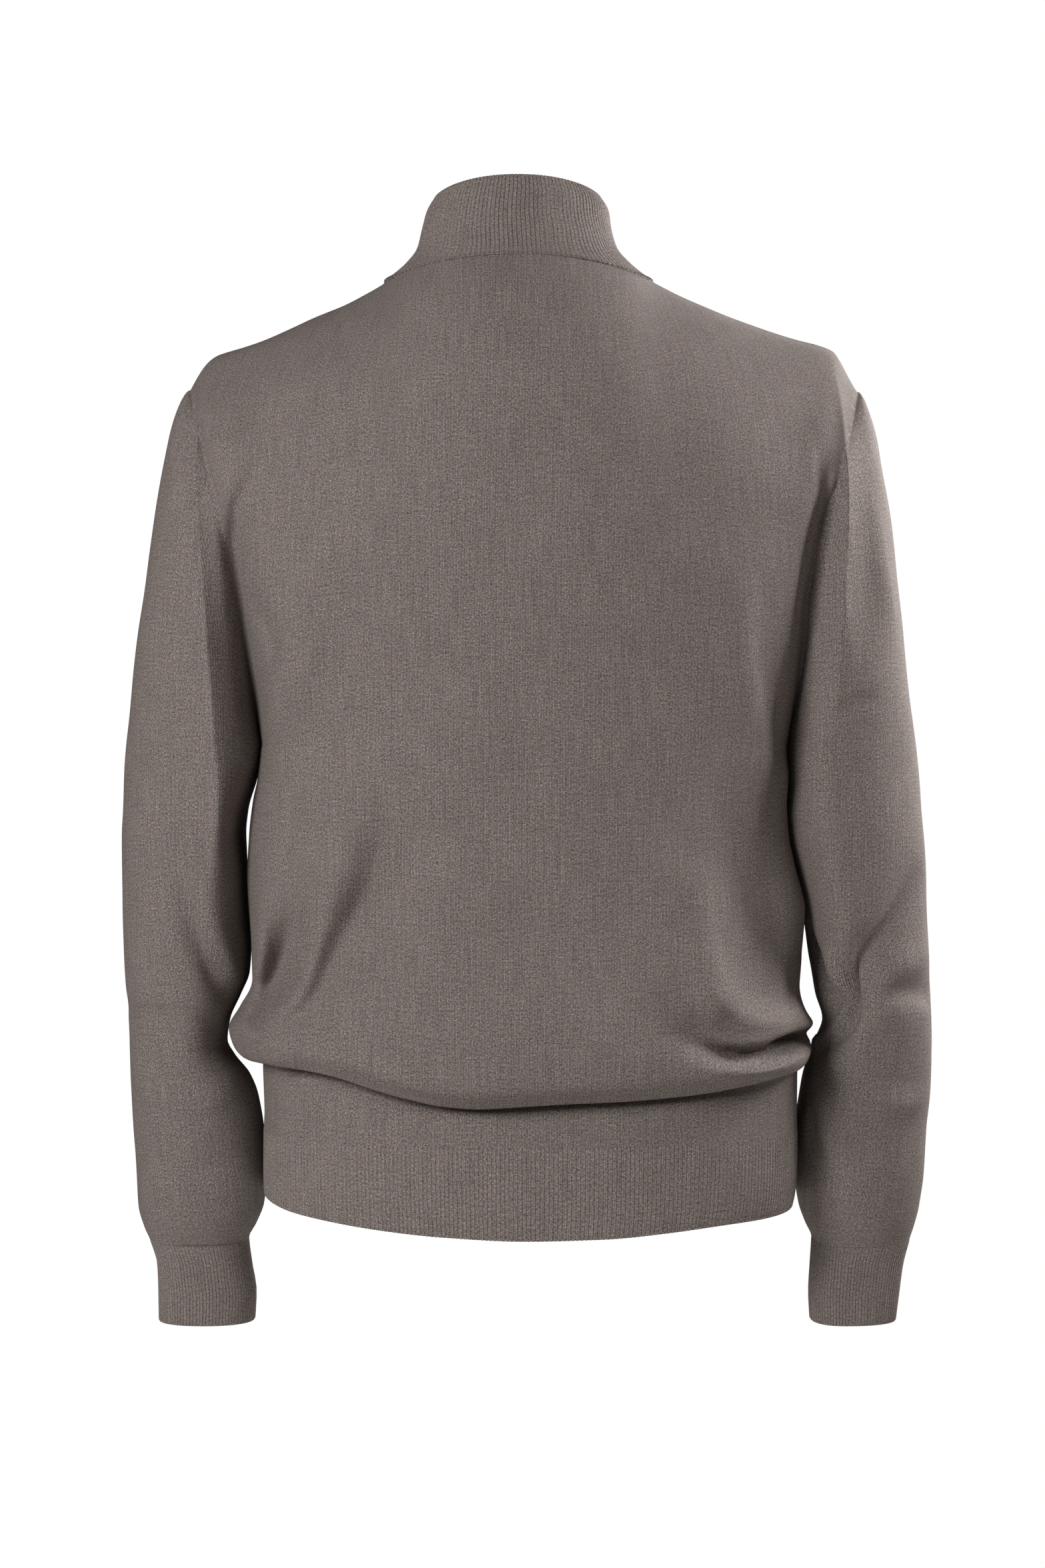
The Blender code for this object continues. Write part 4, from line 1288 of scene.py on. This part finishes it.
# %% Collar rib
COLLAR_WALL = 3.0
COLLAR_STRENGTH = 0.48
COLLAR_RIBS = 136
COLLAR_LEVELS = (0, 0.06, 0.12, 0.18, *np.linspace(0, COLLAR_STEPS[-1], 19)[2:])
COLLAR_HALF = 91  # mm from the middle of the collar's foot to its side
BAND_LIFT, BAND_EDGE = 0.7, (4.2, 3.2)  # mm out, and mm above the seam where the band ends
GROOVE_DEPTH, GROOVE_PLACE, GROOVE_WIDE = 0.5, 4.6, 0.9  # of the groove above the band, in mm
half = np.linspace(0, 1, COLLAR_RIBS * len(RIB) // 2 + 1)
rows = []
for level in COLLAR_LEVELS:
    # At the foot the ribs stay closer together at the back and front, where the collar stands up.
    gather = 0.25 * (1 - min(level / 2, 1)) / (2 * math.pi)
    at = half + gather * np.sin(2 * math.pi * half)
    back, front = collar_ring(level, at, "back"), collar_ring(level, at, "front")[::-1]
    rows.append(np.concatenate([back, front[1:]]))
rows = np.array(rows)
rows[:, -1] = rows[:, 0]
normals_out = row_normals(rows, rows - rows.mean(axis=1, keepdims=True))
climb = lengths(np.swapaxes(rows, 0, 1)).T
round_side = np.abs(rows[0][:, 0] - rows[0][:, 0].mean()) / COLLAR_HALF
band = BAND_LIFT * blend_in(*BAND_EDGE, climb)
band -= GROOVE_DEPTH * np.exp(-(((climb - GROOVE_PLACE) / GROOVE_WIDE) ** 2))
band *= (1 - 0.8 * blend_in(0.8, 1.0, round_side))[None]
outer = rows + normals_out * band[:, :, None]
pieces["collar"] = rib_piece("collar_rib", outer, normals_out, COLLAR_WALL, COLLAR_STRENGTH)

# %% [markdown]
# ## Linking stitches
#
# The collar is linked on, loop by loop, and the row of linking stitches shows along its foot. One stitch
# is a small rounded bar, repeated along the seam's curve, each copy turned to follow it. The hem and the
# cuffs are linked on as well, but no stitch shows there: their seams are only the line where rib begins.

# %% Linking stitches
BAR_SIDES = 6
BAR_RINGS = ((-0.5, 0.0), (-0.36, 0.75), (0.0, 1.0), (0.36, 0.75), (0.5, 0.0))  # place and thickness


def bar(length, thick):
    """The points and faces of a small rounded bar along X."""
    points, faces = [], []
    for at, swell in BAR_RINGS:
        for k in range(BAR_SIDES):
            turn = 2 * math.pi * k / BAR_SIDES
            reach = swell * thick / 2
            points.append((at * length, reach * math.cos(turn), reach * math.sin(turn)))
    for start in range(0, len(points) - BAR_SIDES, BAR_SIDES):
        for k in range(BAR_SIDES):
            j = (k + 1) % BAR_SIDES
            faces.append((start + k, start + j, start + BAR_SIDES + j, start + BAR_SIDES + k))
    return np.array(points), np.array(faces)


def stitch_row(name, line, outwards, pitch, thick, lift, lean):
    """Stitches along a line, each leaning a little off it."""
    shape, shape_faces = bar(pitch * 0.96, thick)
    along = lengths(line)
    count = int(along[-1] / pitch)
    at = (np.arange(count) + 0.5) * along[-1] / count
    centre = follow(line, along, at)
    out = unit_rows(follow(outwards, along, at))
    run = unit_rows(follow(line, along, at + 1) - follow(line, along, at - 1))
    side = unit_rows(np.cross(out, run))
    run = unit_rows(run + lean * side)
    side = unit_rows(np.cross(out, run))
    points = (
        centre[:, None] + lift * out[:, None]
        + shape[None, :, :1] * run[:, None] + shape[None, :, 1:2] * side[:, None]
        + shape[None, :, 2:] * out[:, None]
    ).reshape(-1, 3)
    faces = (shape_faces[None] + (np.arange(count) * len(shape))[:, None, None]).reshape(-1, 4)
    first, index = merge(points)
    lists, keep = face_lists(index[faces])
    piece = add_mesh(name, np.round(points, 4)[first], lists, np.zeros((int(keep.sum()), 2)))
    turn_outwards(piece)
    return piece


UP_FROM_SEAM = 1.4
seam_line = rows[0] + unit_rows(rows[4] - rows[0]) * UP_FROM_SEAM
pieces["linking"] = stitch_row(
    "collar_linking", seam_line, normals_out[0], pitch=2.0, thick=0.9, lift=0.75, lean=0.5
)

# %% [markdown]
# ## Materials
#
# A colour is written as it looks on paper and turned into light. One small function adds each node with
# its settings and its links.

# %% Helpers for materials
def light(code):
    """A colour like "#7A6D69" as linear light."""
    parts = [int(code[k:k + 2], 16) / 255 for k in (1, 3, 5)]
    return [c / 12.92 if c <= 0.04045 else ((c + 0.055) / 1.055) ** 2.4 for c in parts] + [1.0]


def add_node(owner, kind, inputs=(), **settings):
    """A node in a material or a world, with its settings, its values and its links."""
    tree = owner.node_tree
    node = tree.nodes.new("ShaderNode" + kind)
    for key, value in settings.items():
        setattr(node, key, value)
    for key, value in dict(inputs).items():
        if isinstance(value, bpy.types.Node):
            value = value.outputs[0]
        if isinstance(value, bpy.types.NodeSocket):
            tree.links.new(value, node.inputs[key])
        else:
            node.inputs[key].default_value = value
    return node


def new_material(name):
    """An empty material."""
    material = bpy.data.materials.new(name)
    material.use_nodes = True
    material.node_tree.nodes.clear()
    return material


def finish(material, inputs):
    """The shader with its values and links, joined to the material's output."""
    shader = add_node(material, "BsdfPrincipled", inputs)
    add_node(material, "OutputMaterial", {"Surface": shader})


print("a mid grey as light:", round(light("#808080")[0], 3))

# %% [markdown]
# ### The heathered yarn
#
# The yarn is spun from fibres of slightly different browns, so the colour is never flat: fine flecks,
# faint streaks where the yarn changes, and slow clouds over a panel. Each is a noise on the places of the
# flat cloth, with its scale worked out from millimetres.

# %% Heathered yarn
# Scale in each millimetre, stretch, detail, and how dark and how bright each layer makes the yarn.
YARN_LAYERS = (
    (0.9, (1.0, 0.75, 1.0), 1.0, 0.6, 1.4),  # flecks, coarser than the real ones so that they show
    (1.0, (0.7, 0.03, 1.0), 2.0, 0.86, 1.14),  # streaks along the wales
    (1.0, (0.05, 0.7, 1.0), 2.0, 0.91, 1.09),  # streaks along the courses
    (0.03, (1.0, 1.0, 1.0), 2.0, 0.97, 1.03),  # slow clouds
)
BROWNER, BLUER = (1.14, 1.01, 0.86), (0.86, 0.99, 1.14)


def knit_places(material):
    """Places on the flat cloth in millimetres: both together, across and along."""
    places = add_node(material, "UVMap", uv_map="knit")
    places = add_node(material, "VectorMath", {0: places, 1: (1000, 1000, 1000)}, operation="MULTIPLY")
    parts = add_node(material, "SeparateXYZ", {0: places})
    return places, parts.outputs[0], parts.outputs[1]


def noise(material, places, scale, stretch, detail):
    """Noise from 0 to 1 on stretched places, with its middle tones spread out."""
    moved = add_node(material, "VectorMath", {0: places, 1: stretch}, operation="MULTIPLY")
    values = {"Vector": moved, "Scale": scale, "Detail": detail, "Roughness": 0.6}
    raw = add_node(material, "TexNoise", values).outputs["Fac"]
    return add_node(material, "MapRange", {"Value": raw, "From Min": 0.3, "From Max": 0.7})


def shade(material, colour, factor, dark, bright):
    """A colour made darker or brighter by a factor from 0 to 1."""
    amount = add_node(material, "MapRange", {"Value": factor, "To Min": dark, "To Max": bright})
    return add_node(material, "VectorMath", {0: colour, "Scale": amount}, operation="SCALE")


def heather(material, places, dark, bright):
    """The mixed browns and greys of the yarn's fibres, as flecks half a stitch in size."""
    flecks = noise(material, places, 2.2, (1.0, 0.6, 1.0), 1.0)
    ends = {"Factor": flecks, 6: light(dark), 7: light(bright)}
    mixed = add_node(material, "Mix", ends, data_type="RGBA").outputs[2]
    warmth = noise(material, places, 0.45, (1.0, 1.4, 1.0), 3.0)
    ends = {"Factor": warmth, 4: BROWNER, 5: BLUER}
    tint = add_node(material, "Mix", ends, data_type="VECTOR").outputs[1]
    colour = add_node(material, "VectorMath", {0: mixed, 1: tint}, operation="MULTIPLY")
    for scale, stretch, detail, low, high in YARN_LAYERS:
        colour = shade(material, colour, noise(material, places, scale, stretch, detail), low, high)
    return colour


print("layers of the yarn:", len(YARN_LAYERS))

# %% [markdown]
# ### Stitches and wool
#
# Both knits show columns of small V shapes, the wales: a ridge on each side of the wale's middle, with
# the two legs of each stitch leaning down to it. They are too fine to model, so they are bumps. Wool
# scatters light at its fuzz, which the sheen gives.

# %% Stitches and wool
LEG_LEAN = 2.2  # how far a leg climbs from the wale's middle to its side, as an angle of the sine
BUMP = 0.0003  # metres, the height of the bumps at full strength
WOOL = {
    "Roughness": 0.92,
    "Specular IOR Level": 0.2,
    "Sheen Weight": 0.06,
    "Sheen Roughness": 0.45,
    "Sheen Tint": light("#C9B8B2"),
}


def arches(material, value, width):
    """Arches from 0 to 1 and back, side by side, each of one width."""
    for operation, amount in (("MULTIPLY", math.pi / width), ("SINE", 0), ("ABSOLUTE", 0)):
        value = add_node(material, "Math", {0: value, 1: amount}, operation=operation)
    return value


def stitches(material, wales, along, course, wale_share, leg_share):
    """The height of a knit: its wales, and the legs of its stitches on them."""
    lean = add_node(material, "Math", {0: wales, 1: LEG_LEAN}, operation="MULTIPLY")
    values = {0: along, 1: 2 * math.pi / course, 2: lean}
    turns = add_node(material, "Math", values, operation="MULTIPLY_ADD")
    legs = add_node(material, "Math", {0: turns}, operation="SINE")
    low = add_node(material, "Math", {0: wales, 1: wale_share}, operation="MULTIPLY")
    return add_node(material, "Math", {0: legs, 1: leg_share, 2: low}, operation="MULTIPLY_ADD")


def finish_wool(material, colour, height, strength):
    """The shader of the wool, with its stitches as bumps."""
    bump = add_node(material, "Bump", {"Height": height, "Strength": strength, "Distance": BUMP})
    finish(material, {"Base Color": colour, "Normal": bump, **WOOL})


print("bumps of at most", BUMP * 1000, "mm")

# %% [markdown]
# ### Merino jersey
#
# Single jersey in a warm grey brown, matt, with wales 1 mm wide and courses 0.8 mm high. Less light gets
# down between the wales, so they are darker there.

# %% Merino jersey
WALE, COURSE = 1.0, 0.8
jersey_finish = new_material("merino_jersey")
places, across, along = knit_places(jersey_finish)
wales = arches(jersey_finish, across, WALE)
height = stitches(jersey_finish, wales, along, COURSE, 1.0, 0.1)
colour = heather(jersey_finish, places, "#4C4643", "#A0958F")
# Painted shade and light: the colour is darker between the wales, where less light gets down, and brighter
# on them.
colour = shade(jersey_finish, colour, wales, 0.55, 1.2)
finish_wool(jersey_finish, colour, height, 0.55)
print("material:", jersey_finish.name, "with", len(jersey_finish.node_tree.nodes), "nodes")

# %% [markdown]
# ### Merino rib
#
# The rib is the same yarn knitted tighter, with bigger stitches on its raised wales, and it looks a
# little darker. The grooves are already real shape, and little light reaches them, so shade is painted into
# the colour there as well. They lie at each whole repeat of the rib.

# %% Merino rib
RIB_WALE, RIB_COURSE = 1.4, 1.1
rib_finish = new_material("merino_rib")
places, across, along = knit_places(rib_finish)
wales = arches(rib_finish, across, RIB_WALE)
height = stitches(rib_finish, wales, along, RIB_COURSE, 0.5, 0.3)
# Painted shade: the colour is darkened in the grooves, where little light reaches, and a little brightened
# on the ribs between them.
repeats = arches(rib_finish, across, RIB_REPEAT)
groove_shade = add_node(rib_finish, "Math", {0: repeats, 1: 0.5}, operation="POWER")
colour = heather(rib_finish, places, "#504A47", "#A0958F")
colour = shade(rib_finish, colour, groove_shade, 0.76, 1.06)
finish_wool(rib_finish, colour, height, 0.5)
print("material:", rib_finish.name, "with", len(rib_finish.node_tree.nodes), "nodes")

# %% [markdown]
# ## Attaching the pieces to the body
#
# Every piece rides the one body, and each piece that has a flat cut stands for its CAD solid, which is
# hidden. Each flat cut is listed in metres, but only its name is read here. The cuts come from the form:
# widths round it and lengths along it.

CUTS = {
    "back": (0.500, 0.620, 0.272),
    "front": (0.500, 0.600, 0.262),
    "sleeve_left": (0.350, 0.590, 0.170),
    "sleeve_right": (0.350, 0.590, 0.170),
    "hem_back": (0.480, 0.062, 0.0285),
    "hem_front": (0.480, 0.062, 0.0285),
    "cuff_left": (0.225, 0.056, 0.0120),
    "cuff_right": (0.225, 0.056, 0.0120),
    "collar": (0.480, 0.066, 0.0280),
}
for name, piece in pieces.items():
    ribbed = piece.name.endswith("_rib") or name == "linking"
    piece.data.materials.append(rib_finish if ribbed else jersey_finish)
    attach(piece, "root")
    if name not in CUTS:
        continue
    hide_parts(name)
    mesh = piece.data
    print(name, "area of one layer:", round(sum(p.area for p in mesh.polygons) / 2, 4), "m2")

# %% [markdown]
# ## Studio
#
# The room is plain white and the light in it is soft: a wide lamp behind the sweater's left shoulder, as
# the photo's shading shows, a smaller one beside the right arm, one on the hidden front, and a little
# light from all round. The white that the camera sees behind the sweater gives no light itself.

# %% Floor
FLOOR_Z = -1.42
FLOOR_RADIUS = 1.8
bpy.ops.mesh.primitive_circle_add(
    vertices=96, radius=FLOOR_RADIUS, fill_type="NGON", location=(0, 0, FLOOR_Z)
)
floor = bpy.context.object
floor.name = "floor"
floor_finish = new_material("pale_floor")
finish(floor_finish, {"Base Color": light("#F4F3F1"), "Roughness": 0.9})
floor.data.materials.append(floor_finish)
print("floor", FLOOR_Z, "m from the neck's middle")

# %% Light from all round
world = bpy.data.worlds.new("studio")
bpy.context.scene.world = world
world.use_nodes = True
world.node_tree.nodes.clear()
soft = add_node(world, "Background", {"Color": (1, 0.9, 0.86, 1), "Strength": 0.15})
white = add_node(world, "Background", {"Color": (1, 1, 1, 1), "Strength": 1.0})
seen = add_node(world, "LightPath").outputs["Is Camera Ray"]
both = add_node(world, "MixShader", {0: seen, 1: soft, 2: white})
add_node(world, "OutputWorld", {"Surface": both})
bpy.context.scene.view_settings.view_transform = "Standard"
print("nodes of the world:", len(world.node_tree.nodes))

# %% Lamps
LAMPS = (  # name, place, the point it faces, side in metres, watts
    ("lamp_left", (1.15, 1.78, 0.3), (0, 0, -0.35), 0.8, 34.5),
    ("lamp_right", (-0.95, -0.12, 0.1), (-0.25, 0, -0.15), 0.4, 13),
    ("lamp_front", (-1.1, -1.6, 0.5), (0, 0, -0.3), 0.8, 28),
)
for name, place, aim, size, power in LAMPS:
    lamp = bpy.data.lights.new(name, "AREA")
    lamp.shape = "SQUARE"
    lamp.size = size
    lamp.energy = power
    holder = bpy.data.objects.new(name, lamp)
    holder.location = place
    holder.visible_camera = False
    holder.rotation_euler = (Vector(aim) - Vector(place)).to_track_quat("-Z", "Y").to_euler()
    bpy.context.scene.collection.objects.link(holder)
print("lamps:", len(LAMPS))

# %% [markdown]
# ### Camera
#
# The camera looks level at the sweater's back from 1.87 m. Its focal length in pixels of the photo's
# height, which is the longer side and so the one that the sensor's width stands for, gives the lens.

# %% Camera
SENSOR = 36
FOCAL_PIXELS = 4160
PHOTO_HEIGHT = 2352
camera = bpy.data.cameras.new("camera")
camera.sensor_width = SENSOR
camera.lens = SENSOR * FOCAL_PIXELS / PHOTO_HEIGHT
camera_holder = bpy.data.objects.new("camera", camera)
camera_holder.location = (0.00135, 1.872, -0.347)
camera_holder.rotation_euler = (math.radians(90), 0, math.radians(180))
bpy.context.scene.collection.objects.link(camera_holder)
bpy.context.scene.camera = camera_holder
print("lens:", round(camera.lens, 1), "mm")
